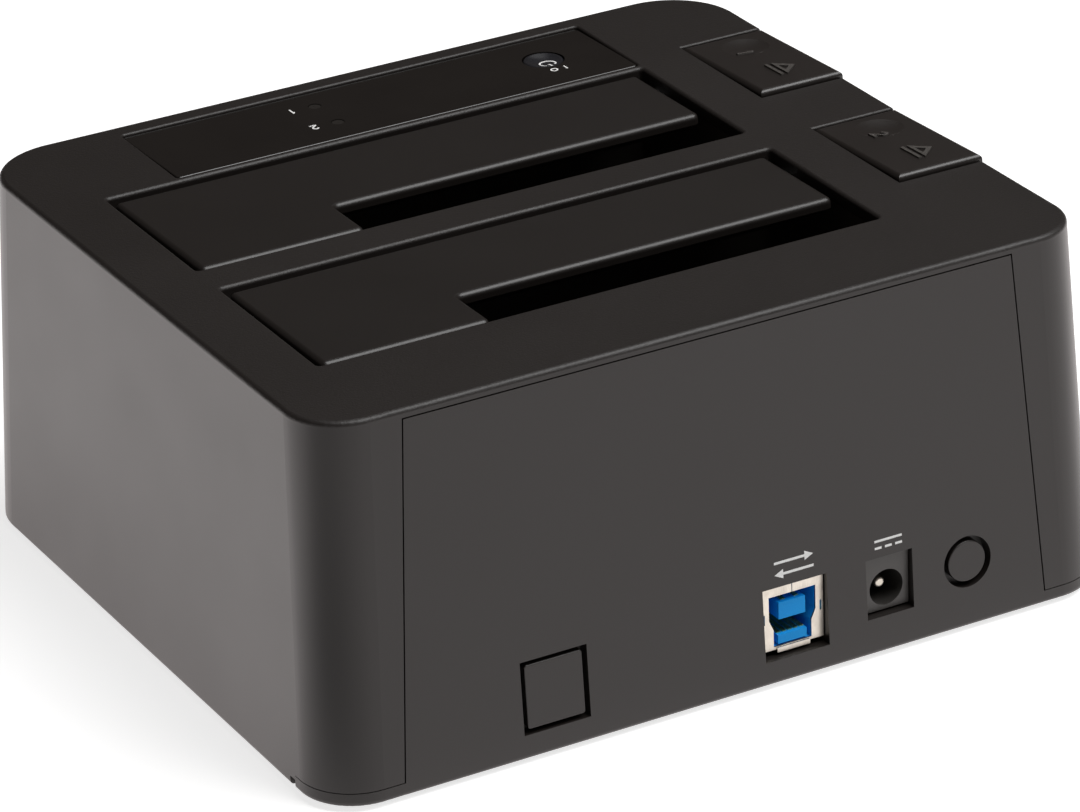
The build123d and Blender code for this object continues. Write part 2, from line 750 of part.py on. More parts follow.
def bay_frame():
    """Two drive wells in one moulding, with hinge holes, button guides and lever ears."""
    well_left = bay_left_x - well_clearance
    well_right = bay_right_x + well_clearance
    frame_left = well_left - well_wall
    frame_right = well_right + well_wall
    frame_front = bay_front(bay_1_y) - well_front_room - well_wall
    frame_rear = bay_rear(bay_2_y) + well_clearance + well_wall
    floor_bottom = well_floor_level - well_floor
    frame = block(frame_left, frame_right, frame_front, frame_rear, floor_bottom, well_floor_level)
    for bay_y in bay_ys:
        inner_front = bay_front(bay_y) - well_front_room
        inner_rear = bay_rear(bay_y) + well_clearance
        tub = block(frame_left, frame_right, inner_front - well_wall, inner_rear + well_wall,
                    floor_bottom, frame_top)
        tub -= block(well_left, well_right, inner_front, inner_rear, well_floor_level, frame_top + overrun)
        tub -= block(frame_left, frame_right, inner_front - overrun, inner_front + hinge_wall_cut,
                     ledge_level - frame_top_gap, frame_top + overrun)
        frame += tub
    # Ears for the four frame screws
    for x, y in frame_ear_spots():
        wall_x = well_right if x > bay_middle_x else well_left
        ear = rod_up(x, y, frame_ear_level, frame_ear_level + frame_ear_thickness, frame_ear_radius)
        ear += block(min(x, wall_x), max(x, wall_x), y - frame_ear_radius, y + frame_ear_radius,
                     frame_ear_level, frame_ear_level + frame_ear_thickness)
        frame += ear - block(well_left, well_right, y - overrun, y + overrun, floor_bottom, frame_top)
        frame -= rod_up(x, y, frame_ear_level - overrun, frame_top, small_screw_radius + screw_clearance)
    # Holes for the hinge rods
    for bay_y in bay_ys:
        frame -= rod_along_x(frame_left - overrun, frame_right + overrun, hinge_y(bay_y), hinge_z,
                             hinge_rod_radius + screw_clearance / 2)
    # Openings in the floor for the drive connectors
    for bay_y in bay_ys:
        y = bay_rear(bay_y) + well_clearance - drive_connector_from_wall
        half_x = socket_length / 2 + socket_hole_clearance
        half_y = socket_foot_width / 2 + socket_hole_clearance
        frame -= block(connector_x - half_x, connector_x + half_x, y - half_y, y + half_y,
                       floor_bottom - overrun, well_floor_level + overrun)
    # Guides of the eject buttons, with a gusset under each
    guide_left = stem_x - guide_reach
    for button_y in button_ys:
        front = button_y - guide_half_width
        rear = button_y + guide_half_width
        low = guide_level - guide_thickness
        frame += block(guide_left, well_left - well_wall / 2, front, rear, low, guide_level)
        for y in (front, rear - well_wall):
            corners = [(well_left - well_wall / 2, low - guide_half_width), (well_left - well_wall / 2, low),
                       (guide_left, low)]
            frame += prism_along_y(corners, y, y + well_wall)
        frame -= rod_up(stem_x, button_y, low - overrun, guide_level + overrun, stem_radius + button_clearance)
    # Ears and floor slots of the eject levers
    for bay_y, button_y in zip(bay_ys, button_ys):
        low_y, high_y = lever_span(bay_y, button_y)
        ear_left = lever_pivot_x - lever_ear_half_length
        ear_low = lever_pivot_z - lever_ear_half_length
        ear_high = well_floor_level + lever_ear_rise
        gap = lever_clearance / 2
        for y in (low_y - gap - lever_ear_thickness, high_y + gap):
            frame += block(ear_left, well_left - well_wall / 2, y, y + lever_ear_thickness, ear_low, ear_high)
        frame -= rod_along_y(lever_pivot_x, low_y - overrun, high_y + overrun, lever_pivot_z,
                             lever_pin_radius + lever_pin_clearance)
        front, rear = lever_finger_ys(bay_y)
        slot_right = lever_pivot_x + lever_finger_reach + 2 * lever_clearance
        rise = lever_finger_reach * sin(button_travel / lever_arm)
        frame -= block(ear_left - overrun, slot_right, front - lever_clearance, rear + gap,
                       ear_low - overrun, well_floor_level + rise)
        frame -= rod_along_y(lever_pivot_x, low_y - gap, high_y + gap, lever_pivot_z,
                             lever_barrel_radius + lever_clearance)
    return frame


def lever_finger_ys(bay_y):
    """Front and rear side of the lever's finger, which lifts the drive beside the rear wall of the well."""
    rear = bay_rear(bay_y) - lever_finger_from_wall
    return rear - lever_finger_width, rear


def lever_span(bay_y, button_y):
    """Front and rear end of the lever's barrel."""
    return button_y - lever_pad_half_width, lever_finger_ys(bay_y)[1]


def eject_lever(bay_y, button_y):
    """Rocker on its pin: the button's stem presses the outer pad, and the inner finger lifts the drive."""
    low_y, high_y = lever_span(bay_y, button_y)
    half = lever_thickness / 2
    low = lever_pivot_z - half
    high = lever_pivot_z + half
    lever = rod_along_y(lever_pivot_x, low_y, high_y, lever_pivot_z, lever_barrel_radius)
    lever += block(stem_x - lever_pad_reach, lever_pivot_x, button_y - lever_pad_half_width,
                   button_y + lever_pad_half_width, low, high + lever_crown)
    front, rear = lever_finger_ys(bay_y)
    tip = lever_pivot_x + lever_finger_reach
    lever += block(lever_pivot_x, tip, front, rear, low, high)
    lever += block(tip - lever_nub_length, tip, front, rear, low, well_floor_level - lever_nub_gap)
    nub_edge = lever.edges().filter_by(Axis.Y).group_by(Axis.Z)[-1]
    lever = fillet(nub_edge, lever_nub_length / 4)
    lever -= rod_along_y(lever_pivot_x, low_y - overrun, high_y + overrun, lever_pivot_z,
                         lever_pin_radius + lever_pin_clearance)
    return lever


def lever_pin(bay_y, button_y):
    low_y, high_y = lever_span(bay_y, button_y)
    reach = lever_clearance / 2 + lever_ear_thickness
    return rod_along_y(lever_pivot_x, low_y - reach, high_y + reach, lever_pivot_z, lever_pin_radius)


def button_top(y, button_y):
    """Height of the button's sloping top over a place along Y."""
    share = (y - button_y) / button_length + 1 / 2
    return top_level - button_front_sink + share * (button_front_sink + button_rear_rise)


def eject_button(button_y):
    """Hollow key on a round stem. Its top slopes up to the rear and runs out over the side of the casing."""
    front = button_y - button_length / 2 + button_clearance
    rear = button_y + button_length / 2 - button_clearance
    inner = button_inner_x - button_clearance
    skirt_level = top_level - button_skirt
    form = casing_form(seam_level, top_level + overrun) & block(
        -casing_length, inner, front, rear, skirt_level, top_level + overrun)
    before = front - overrun
    after = rear + overrun
    slope = [(before, button_top(before, button_y)), (after, button_top(after, button_y)),
             (after, top_level + 2 * overrun), (before, top_level + 2 * overrun)]
    lid = prism_along_x(slope, -casing_length, 0)
    key = form - lid
    crown = key.faces().sort_by(Axis.Z)[-1]
    key = fillet(crown.edges(), button_round)
    # Hollow inside, open below
    notch_level = skirt_level - button_travel - button_clearance
    apron_left = -side_x(notch_level, wall + button_apron_seat)
    ceiling = top_level - button_front_sink - button_wall
    key -= block(apron_left + button_wall, inner - button_wall, front + button_wall, rear - button_wall,
                 skirt_level - overrun, ceiling)
    # Apron behind the side wall, which closes the gap that the key travels in
    key += block(apron_left, apron_left + button_wall, front + button_wall, rear - button_wall,
                 notch_level - button_apron_overlap, ceiling)
    # Thumb dimple near the front end
    dimple_y = front + button_length * button_dimple_share
    dimple_x = inner - (inner + side_x(top_level)) * button_dimple_side_share
    ball_z = button_top(dimple_y, button_y) - button_dimple_depth + button_dimple_radius
    key -= Pos(dimple_x, dimple_y, ball_z) * Sphere(button_dimple_radius)
    # Stem with a rounded tip and a groove for its clip
    tip = lever_pivot_z + lever_thickness / 2 + lever_crown + stem_rest_gap
    stem = rod_up(stem_x, button_y, tip + 2 * stem_tip_radius, ceiling + button_wall / 2, stem_radius)
    stem += rod_up(stem_x, button_y, tip + stem_tip_radius, tip + 2 * stem_tip_radius, stem_tip_radius)
    stem += Pos(stem_x, button_y, tip + stem_tip_radius) * Sphere(stem_tip_radius)
    groove_top = guide_level - guide_thickness - clip_gap + clip_play
    groove_low = groove_top - clip_thickness - 2 * clip_play
    ring = rod_up(stem_x, button_y, groove_low, groove_top, stem_radius + overrun)
    ring -= rod_up(stem_x, button_y, groove_low, groove_top, stem_radius - clip_groove)
    return key + (stem - ring)


def button_clip(button_y):
    """Retaining ring in the stem's groove, under the guide."""
    top = guide_level - guide_thickness - clip_gap
    ring = rod_up(stem_x, button_y, top - clip_thickness, top, clip_radius)
    ring -= rod_up(stem_x, button_y, top - overrun, top + overrun, stem_radius - clip_groove + clip_play)
    mouth = stem_radius - clip_groove + clip_play
    return ring - block(stem_x, stem_x + 2 * clip_radius, button_y - mouth, button_y + mouth,
                        top - overrun, top + overrun)


def button_spring(button_y):
    """Compression spring between the guide and the underside of the button."""
    ceiling = top_level - button_front_sink - button_wall
    length = ceiling - guide_level - button_spring_wire
    wire = coil(button_spring_radius, button_spring_wire, length / button_spring_turns, length)
    return Pos(stem_x, button_y, guide_level + button_spring_wire / 2) * wire


def hinge_place(bay_y):
    """Frame of a door: origin on the hinge axis, tilted as the closed door is."""
    return Pos(0, hinge_y(bay_y), hinge_z) * Rot(door_tilt, 0, 0)


def door(bay_y):
    """L-shaped flap. The corner that it leaves open takes the narrow drives."""
    reach = bay_width - door_front_gap - door_rear_gap - hinge_overhang
    low = hinge_drop - door_thickness
    flap = block(door_left_x, door_right_x, -hinge_overhang, reach, low, hinge_drop)
    flap -= block(door_left_x - overrun, slot_end, reach + door_rear_gap - slot_width, reach + overrun,
                  low - overrun, hinge_drop + overrun)
    flap = fillet(flap.edges().filter_by(Axis.Z), door_corner_round)
    flap = fillet(flap.faces().sort_by(Axis.Z)[-1].edges(), door_round)
    # Rib along the free edge, set back from it
    rib_rear = reach + door_rear_gap - slot_width - door_rib_width
    rib_left = door_left_x + door_rib_width
    rib_right = door_right_x - door_rib_width
    flap += block(rib_left, rib_right, rib_rear - door_rib_width, rib_rear,
                  low - door_rib_height, low + door_thickness / 4)
    # Hinge barrel, left short at one end for the spring
    barrel_right = door_right_x - door_spring_length - 2 * door_spring_room
    flap += rod_along_x(door_left_x, barrel_right, 0, 0, hinge_barrel_radius)
    flap += block(door_left_x, barrel_right, -hinge_barrel_radius * 3 / 4, hinge_barrel_radius * 3 / 4,
                  0, low + door_thickness / 4)
    flap -= rod_along_x(barrel_right, door_right_x + overrun, 0, 0,
                        door_spring_radius + door_spring_wire / 2 + door_spring_room)
    bore_radius = hinge_rod_radius + hinge_clearance
    flap -= rod_along_x(door_left_x - overrun, door_right_x + overrun, 0, 0, bore_radius)
    channel_right = barrel_right + 2 * door_spring_room + door_spring_wire
    channel_top = door_spring_radius + door_spring_wire / 2 + door_spring_room
    channel_end = door_spring_leg + door_spring_room
    leg_drift = door_spring_leg * door_spring_pitch / (2 * pi * door_spring_radius)
    flap -= block(barrel_right, channel_right, 0, hinge_barrel_radius, 0, channel_top)
    flap -= block(barrel_right - leg_drift, channel_right, hinge_barrel_radius, channel_end, 0, channel_top)
    return hinge_place(bay_y) * flap


def door_rod(bay_y):
    left = bay_left_x - well_clearance - well_wall - hinge_rod_end
    right = bay_right_x + well_clearance + well_wall + hinge_rod_end
    return rod_along_x(left, right, hinge_y(bay_y), hinge_z, hinge_rod_radius)


def door_spring(bay_y):
    """Torsion spring on the rod, with one leg that bears on the underside of the door."""
    barrel_right = door_right_x - door_spring_length - 2 * door_spring_room
    start = barrel_right + door_spring_room + door_spring_wire / 2
    run = door_spring_length - door_spring_wire
    turns = Helix(pitch=door_spring_pitch, height=run, radius=door_spring_radius)
    leg = Line(turns @ 0 - (turns % 0) * door_spring_leg, turns @ 0)
    path = Wire([leg.edge(), turns.edge()])
    section = Plane(origin=path @ 0, z_dir=path % 0) * Circle(door_spring_wire / 2)
    place = Pos(start, 0, 0) * Rot(0, 90, 0) * Rot(0, 0, 180)
    return hinge_place(bay_y) * place * sweep(section, path=path, is_frenet=True)


def indicator_panel():
    """Glossy plate over the indicator board, with holes for the button and the light pipes."""
    run = indicator_rear_y - indicator_front_y
    plate = rounded_block(indicator_left_x, indicator_right_x, -run, 0, -indicator_thickness, 0,
                          indicator_corner_radius)
    plate = fillet(plate.faces().sort_by(Axis.Z)[-1].edges(), edge_round / 2)
    plate = indicator_place() * plate
    plate -= block(indicator_left_x - overrun, indicator_right_x + overrun, indicator_front_y - overrun,
                   indicator_rear_y + overrun, indicator_seat - overrun, indicator_seat)
    plate -= rod_up(power_button_x, power_button_y, ledge_level, top_level + overrun,
                    power_button_radius + power_button_gap)
    for y in light_ys:
        plate -= rod_up(light_x, y, ledge_level, top_level + overrun, light_pipe_radius + light_pipe_gap)
    return plate


def power_button():
    """Dished round cap with a flange under the panel and a stem down to the switch."""
    cap_low = indicator_seat - power_button_flange_gap
    cap = rod_up(power_button_x, power_button_y, cap_low, power_button_top, power_button_radius)
    cap = fillet(cap.edges().group_by(Axis.Z)[-1], edge_round)
    ball_z = power_button_top - power_button_dish_depth + power_button_dish_radius
    cap -= Pos(power_button_x, power_button_y, ball_z) * Sphere(power_button_dish_radius)
    flange_low = cap_low - power_button_flange_thickness
    flange_radius = power_button_radius + power_button_flange
    cap += rod_up(power_button_x, power_button_y, flange_low, cap_low, flange_radius)
    return cap + rod_up(power_button_x, power_button_y, plunger_top, flange_low, switch_plunger_radius)


def power_switch():
    """Small push switch on the indicator board, with a bore for its plunger."""
    half = switch_width / 2
    body = Pos(power_button_x, power_button_y, 0) * block(
        -half, half, -half, half, indicator_board_top, indicator_board_top + switch_height)
    low = indicator_board_top + switch_height - switch_plunger_depth - power_button_travel
    return body - rod_up(power_button_x, power_button_y, low, indicator_board_top + switch_height + overrun,
                         switch_plunger_radius + switch_plunger_play)


def power_switch_plunger():
    low = indicator_board_top + switch_height - switch_plunger_depth + switch_plunger_play
    return rod_up(power_button_x, power_button_y, low, plunger_top, switch_plunger_radius)


def indicator_board():
    board = block(indicator_left_x, indicator_right_x, indicator_front_y + indicator_board_margin,
                  indicator_rear_y - indicator_board_margin, indicator_board_bottom, indicator_board_top)
    for x, y in indicator_boss_spots():
        board -= rod_up(x, y, indicator_board_bottom - overrun, indicator_board_top + overrun,
                        small_screw_radius + screw_clearance)
    return board


def status_leds():
    leds = []
    for y in light_ys:
        led = Box(led_width, led_length, led_height)
        leds.append(Pos(light_x, y, indicator_board_top + led_height / 2) * led)
    return Compound(leds)


def light_pipes():
    """Clear rods from each lamp up to the face of the panel."""
    pipes = []
    low = indicator_board_top + led_height + light_pipe_seat
    for y in light_ys:
        run = indicator_rear_y - indicator_front_y
        sink = indicator_rear_sink + (indicator_rear_y - y) / run * (indicator_sink - indicator_rear_sink)
        pipe = rod_up(light_x, y, low, top_level - sink - light_pipe_gap, light_pipe_radius)
        collar_top = indicator_seat - power_button_flange_gap
        collar_low = collar_top - power_button_flange_thickness
        pipe += rod_up(light_x, y, collar_low, collar_top, 2 * light_pipe_radius)
        pipes.append(pipe)
    return Compound(pipes)


def ribbon_socket(low, high, mouth):
    """Shrouded socket with a slot for the ribbon, open at the level of its mouth."""
    body = block(ribbon_x - ribbon_socket_length / 2, ribbon_x + ribbon_socket_length / 2,
                 ribbon_y - ribbon_socket_width / 2, ribbon_y + ribbon_socket_width / 2, low, high)
    half_x = ribbon_width / 2 + ribbon_slot_gap
    half_y = ribbon_thickness / 2 + ribbon_slot_gap
    return body - block(ribbon_x - half_x, ribbon_x + half_x, ribbon_y - half_y, ribbon_y + half_y,
                        mouth - ribbon_slot_depth, mouth + ribbon_slot_depth)


def indicator_socket():
    low = indicator_board_bottom - ribbon_socket_height
    return ribbon_socket(low, indicator_board_bottom, low)


def main_socket():
    high = board_top + ribbon_socket_height
    return ribbon_socket(board_top, high, high)


def ribbon_cable():
    """Flat cable with a slack bow towards the front of the casing."""
    low = board_top + ribbon_socket_height - ribbon_slot_depth + ribbon_slot_gap
    high = indicator_board_bottom - ribbon_socket_height + ribbon_slot_depth - ribbon_slot_gap
    bend_low = board_top + ribbon_socket_height + ribbon_straight
    bend_high = indicator_board_bottom - ribbon_socket_height - ribbon_straight
    third = (bend_high - bend_low) / 3
    bowed = ribbon_y - ribbon_bow
    points = [(ribbon_x, ribbon_y, low), (ribbon_x, ribbon_y, bend_low),
              (ribbon_x, bowed, bend_low + third), (ribbon_x, bowed, bend_high - third),
              (ribbon_x, ribbon_y, bend_high), (ribbon_x, ribbon_y, high)]
    path = FilletPolyline(*points, radius=third * ribbon_bend_share)
    start = Plane(origin=path @ 0, x_dir=(1, 0, 0), z_dir=path % 0)
    return sweep(start * Rectangle(ribbon_width, ribbon_thickness), path=path)


def main_board():
    """Circuit board that hangs the ports below and carries the drive connectors above."""
    board = block(board_left_x, board_right_x, board_front_y, board_rear(), board_underside, board_top)
    for x, y in board_post_spots():
        board -= rod_up(x, y, board_underside, board_top, small_screw_radius + screw_clearance)
    return board


def connector_y(bay_y):
    return bay_rear(bay_y) + well_clearance - drive_connector_from_wall


def socket_slots():
    """Left and right end of the power slot and of the data slot."""
    total = socket_power_slot + socket_slot_bridge + socket_data_slot
    left = connector_x - total / 2
    return ((left, left + socket_power_slot), (left + total - socket_data_slot, left + total))


def drive_connector(bay_y):
    """Upright drive connector: a foot on the board and a body with two slots."""
    y = connector_y(bay_y)
    foot_top = well_floor_level - well_floor / 2
    body = block(connector_x - socket_length / 2, connector_x + socket_length / 2,
                 y - socket_foot_width / 2, y + socket_foot_width / 2, board_top, foot_top)
    body += block(connector_x - socket_body_length / 2, connector_x + socket_body_length / 2,
                  y - socket_body_width / 2, y + socket_body_width / 2, board_top, socket_top)
    body = chamfer(body.faces().sort_by(Axis.Z)[-1].edges(), contact_width)
    for left, right in socket_slots():
        body -= block(left, right, y - socket_slot_width / 2, y + socket_slot_width / 2,
                      socket_top - socket_slot_depth, socket_top + overrun)
    return body


def drive_contacts(bay_y):
    """Spring contacts along one wall of each slot."""
    y = connector_y(bay_y) + socket_slot_width / 2
    low = socket_top - socket_slot_depth
    contacts = []
    for (left, right), count in zip(socket_slots(), (power_contacts, data_contacts)):
        for index in range(count):
            x = (left + right) / 2 + (index - (count - 1) / 2) * contact_pitch
            contacts.append(block(x - contact_width / 2, x + contact_width / 2, y - contact_thickness, y,
                                  low, low + contact_height))
    return Compound(contacts)


def bridge_chips():
    chips = []
    for bay_y in bay_ys:
        chip = Box(chip_width, chip_width, chip_height)
        chips.append(Pos(bay_middle_x + chip_from_middle, bay_y, board_top + chip_height / 2) * chip)
    return Compound(chips)


def crystals():
    cans = []
    x = bay_middle_x + chip_from_middle + crystal_offset
    for bay_y in bay_ys:
        can = Box(crystal_length, crystal_width, crystal_height)
        cans.append(Pos(x, bay_y, board_top + crystal_height / 2) * can)
    return Compound(cans)


def capacitors():
    """Round capacitors under the board."""
    cans = []
    for index in range(capacitor_count):
        x = port_x + capacitor_from_port + index * capacitor_pitch
        can = rod_up(x, board_rear(capacitor_from_rear), board_underside - capacitor_height, board_underside,
                     capacitor_radius)
        cans.append(fillet(can.edges().group_by(Axis.Z)[0], edge_round))
    return Compound(cans)


def inductors():
    """Square power inductors under the board."""
    half = inductor_width / 2
    middle = board_rear(inductor_from_rear)
    blocks = []
    for index in range(inductor_count):
        x = board_left_x + inductor_from_left + index * inductor_pitch
        blocks.append(block(x - half, x + half, middle - half, middle + half,
                            board_underside - inductor_height, board_underside))
    return Compound(blocks)


def port_face_y(recess):
    """Face of a port, measured in from the rear wall at the middle height of the data port."""
    return rear_y(foot_height + port_cut_bottom + port_cut_height / 2) - recess


def port_mouth(near, far):
    """Keyed opening of the data port: wide above, narrow with cut corners below."""
    top = board_underside - port_mouth_top
    wide = port_wide_width / 2
    narrow = port_narrow_width / 2
    step = top - port_wide_height
    low = step - port_narrow_height
    corners = [(-wide, top), (wide, top), (wide, step + port_key_chamfer), (narrow, step), (narrow, low),
               (-narrow, low), (-narrow, step), (-wide, step + port_key_chamfer)]
    return Pos(port_x, 0, 0) * prism_along_y(corners, near, far)


def port_body(inset):
    """Outer block of the data port's shell, drawn in by an inset."""
    face = port_face_y(port_face_recess)
    half = port_shell_width / 2 - inset
    high = board_underside - inset
    return block(port_x - half, port_x + half, face - port_shell_depth + inset, face - inset,
                 board_underside - port_shell_height + inset, high)


def port_shell():
    """Folded metal shell of the data port, with a keyed mouth."""
    face = port_face_y(port_face_recess)
    shell = port_body(0) - port_body(port_shell_metal)
    shell -= port_mouth(face - port_flange_width, face + overrun)
    mouth_top = board_underside - port_mouth_top
    shell -= block(port_x - port_seam_width / 2, port_x + port_seam_width / 2, face - port_seam_depth,
                   face + overrun, mouth_top - port_shell_metal, board_underside + overrun)
    slit_x = port_shell_width / 2 - port_side_slit_inset
    slit_low = board_underside - port_shell_height / 2 - port_side_slit_length / 2
    for side in (-1, 1):
        middle = port_x + side * slit_x
        shell -= block(middle - port_side_slit_width / 2, middle + port_side_slit_width / 2,
                       face - port_side_slit_depth, face + overrun, slit_low, slit_low + port_side_slit_length)
    lip_top = mouth_top - port_wide_height - port_narrow_height - port_lip_drop
    return shell + block(port_x - port_lip_width / 2, port_x + port_lip_width / 2, face - port_shell_metal,
                         face + port_lip_rise, lip_top - port_lip_height, lip_top)


def port_insulator():
    """Coloured insulator that fills the shell, with two tongues in its mouth."""
    face = port_face_y(port_face_recess)
    body = port_body(port_shell_metal)
    body -= port_mouth(face - port_mouth_depth, face + overrun)
    top = board_underside - port_mouth_top - port_tongue_top
    low = board_underside - port_mouth_top - port_wide_height - port_narrow_height + port_small_tongue_bottom
    back = face - port_mouth_depth - port_tongue_back
    front = face - port_tongue_back
    half = port_tongue_width / 2
    body += block(port_x - half, port_x + half, back, front, top - port_tongue_height, top)
    half = port_small_tongue_width / 2
    body += block(port_x - half, port_x + half, back, front, low, low + port_small_tongue_height)
    return body


def port_contacts():
    """Contact strips on the faces of both tongues."""
    face = port_face_y(port_face_recess)
    front = face - port_tongue_back - port_contact_width
    back = front - port_mouth_depth * port_contact_share
    top = board_underside - port_mouth_top - port_tongue_top
    low = board_underside - port_mouth_top - port_wide_height - port_narrow_height + port_small_tongue_bottom
    small_top = low + port_small_tongue_height
    strips = []
    under = top - port_tongue_height - port_contact_thickness
    rows = ((top, port_tongue_width, port_large_tongue_contacts),
            (under, port_tongue_width, port_large_tongue_contacts),
            (small_top, port_small_tongue_width, port_small_tongue_contacts))
    for level, width, count in rows:
        pitch = width / count
        for index in range(count):
            x = port_x + (index - (count - 1) / 2) * pitch
            strips.append(block(x - port_contact_width / 2, x + port_contact_width / 2, back, front,
                                level, level + port_contact_thickness))
    return Compound(strips)


def jack_body():
    """Power jack that hangs under the board, with its round socket."""
    face = port_face_y(jack_recess)
    body = block(power_x - jack_width / 2, power_x + jack_width / 2, face - jack_depth, face,
                 board_underside - jack_height, board_underside)
    level = board_underside - jack_hole_from_board
    body -= rod_along_y(power_x, face - jack_hole_depth, face + overrun, level, jack_hole_radius)
    return body


def jack_pin():
    """Round centre pin of the power jack."""
    face = port_face_y(jack_recess)
    level = board_underside - jack_hole_from_board
    pin = rod_along_y(power_x, face - jack_hole_depth, face - jack_pin_recess, level, jack_pin_radius)
    return fillet(pin.edges().group_by(Axis.Y)[-1], jack_pin_radius / 2)


def rubber_feet():
    feet = []
    for x, y in foot_spots:
        foot = rod_up(x, y, 0, foot_height + foot_seat, foot_radius)
        feet.append(fillet(foot.edges().group_by(Axis.Z)[0], foot_round))
    return Compound(feet)


def screws_at(spots, level, from_below, head_radius, head_height, shank_radius, length):
    """Group of like screws whose heads seat at one level."""
    group = []
    for x, y in spots:
        turn = Rot(180, 0, 0) if from_below else Rot(0, 0, 0)
        group.append(Pos(x, y, level) * turn * pan_screw(head_radius, head_height, shank_radius, length))
    return Compound(group)


def base_screws():
    return screws_at(column_spots, foot_height + counterbore_depth, True, screw_head_radius, screw_head_height,
                     screw_radius, screw_length)


def board_screws():
    return screws_at(board_post_spots(), board_top, False, small_head_radius, small_head_height,
                     small_screw_radius, small_screw_length)


def frame_screws():
    return screws_at(frame_ear_spots(), frame_ear_level, True, small_head_radius, small_head_height,
                     small_screw_radius, small_screw_length)


def indicator_board_screws():
    return screws_at(indicator_boss_spots(), indicator_board_bottom, True, small_head_radius,
                     small_head_height, small_screw_radius, small_screw_length)


parts = {
    "upper_shell": upper_shell(),
    "base_tray": base_tray(),
    "bay_frame": bay_frame(),
    "square_port_plug": square_port_plug(),
    "round_port_plug": round_port_plug(),
    "indicator_panel": indicator_panel(),
    "power_button": power_button(),
    "power_switch": power_switch(),
    "power_switch_plunger": power_switch_plunger(),
    "indicator_board": indicator_board(),
    "status_leds": status_leds(),
    "light_pipes": light_pipes(),
    "indicator_socket": indicator_socket(),
    "main_socket": main_socket(),
    "ribbon_cable": ribbon_cable(),
    "main_board": main_board(),
    "bridge_chips": bridge_chips(),
    "crystals": crystals(),
    "capacitors": capacitors(),
    "inductors": inductors(),
    "data_port_shell": port_shell(),
    "data_port_insulator": port_insulator(),
    "data_port_contacts": port_contacts(),
    "power_jack_body": jack_body(),
    "power_jack_pin": jack_pin(),
    "rubber_feet": rubber_feet(),
    "base_screws": base_screws(),
    "board_screws": board_screws(),
    "frame_screws": frame_screws(),
    "indicator_board_screws": indicator_board_screws(),
}

for number, (bay_y, button_y) in enumerate(zip(bay_ys, button_ys), start=1):
    parts[f"door_{number}"] = door(bay_y)
    parts[f"door_rod_{number}"] = door_rod(bay_y)
    parts[f"door_spring_{number}"] = door_spring(bay_y)
    parts[f"drive_connector_{number}"] = drive_connector(bay_y)
    parts[f"drive_contacts_{number}"] = drive_contacts(bay_y)
    parts[f"eject_button_{number}"] = eject_button(button_y)
    parts[f"button_clip_{number}"] = button_clip(button_y)
    parts[f"eject_spring_{number}"] = button_spring(button_y)
    parts[f"eject_lever_{number}"] = eject_lever(bay_y, button_y)
    parts[f"lever_pin_{number}"] = lever_pin(bay_y, button_y)

os.makedirs("parts", exist_ok=True)
for name, solid in parts.items():
    export_step(solid, f"parts/{name}.step")
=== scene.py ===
import json
import math

import bmesh
import bpy
from mathutils import Matrix, Vector
from mathutils.bvhtree import BVHTree


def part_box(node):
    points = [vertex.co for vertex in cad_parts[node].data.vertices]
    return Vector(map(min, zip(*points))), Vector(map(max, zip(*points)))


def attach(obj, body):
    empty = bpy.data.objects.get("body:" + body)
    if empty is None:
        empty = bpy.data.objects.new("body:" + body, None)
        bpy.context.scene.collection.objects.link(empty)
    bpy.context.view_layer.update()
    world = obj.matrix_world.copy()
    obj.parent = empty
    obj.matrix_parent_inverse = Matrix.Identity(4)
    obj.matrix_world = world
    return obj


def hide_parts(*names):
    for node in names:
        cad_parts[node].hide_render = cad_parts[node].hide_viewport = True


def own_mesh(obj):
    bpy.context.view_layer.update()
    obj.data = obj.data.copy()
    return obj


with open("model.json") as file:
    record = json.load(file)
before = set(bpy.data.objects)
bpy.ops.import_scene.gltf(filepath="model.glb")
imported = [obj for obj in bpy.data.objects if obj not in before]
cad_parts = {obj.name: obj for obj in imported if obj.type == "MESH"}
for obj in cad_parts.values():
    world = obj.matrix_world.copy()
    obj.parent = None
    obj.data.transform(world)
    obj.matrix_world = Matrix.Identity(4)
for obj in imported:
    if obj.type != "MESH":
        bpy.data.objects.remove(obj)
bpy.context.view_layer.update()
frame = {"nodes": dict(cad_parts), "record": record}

# Docking station for two bare disk drives, in metres. X runs along the drive bays, Y from the
# indicator panel to the ports, Z up. The feet stand on z = 0.
MM = 0.001

# Camera
CAMERA_PLACE = Vector((0.4122, 0.7777, 0.4483))
CAMERA_AIM = Vector((0.03042, 0.06124, 0.05981))
CAMERA_ROLL = math.radians(-2.286)
CAMERA_LENS = 186.21
SENSOR_WIDTH = 36.0
CLIP_NEAR = 0.05
CLIP_FAR = 20.0

# Floor, as half its side and its tone, and its glow for the camera and in shiny faces
FLOOR_HALF = 6.0
FLOOR_TONE = 0.62
FLOOR_ROUGHNESS = 0.9
CAMERA_GLOW = 0.75
GLOSS_TINT = (1.0, 0.93, 0.92)

# Dim patch of floor, which only the casing's rounded corner reflects
SHADE_MIDDLE = (0.15, 0.11, 0.0)
SHADE_INNER = 0.03
SHADE_OUTER = 0.10
SHADE_GLOW = 0.1

# In shiny faces the floor beyond the ports glows less than the floor beside the casing
REAR_EDGE = 0.078
REAR_GLOW = 0.8
SIDE_EDGE = 0.050
SIDE_GLOW = 1.5

# Light of the surround and the lamps: place, aim, side and power
WHITE = (1.0, 1.0, 1.0)
SURROUND_LIGHT = (0.072, 0.063, 0.058)
LAMPS = {
    "overhead_lamp": ((-0.42, 0.42, 1.15), (0.0, 0.0, 0.0), 0.95, 19.0),
    "rear_lamp": ((-0.62, -0.90, 0.98), (0.0, 0.0, 0.05), 0.32, 0.2),
}

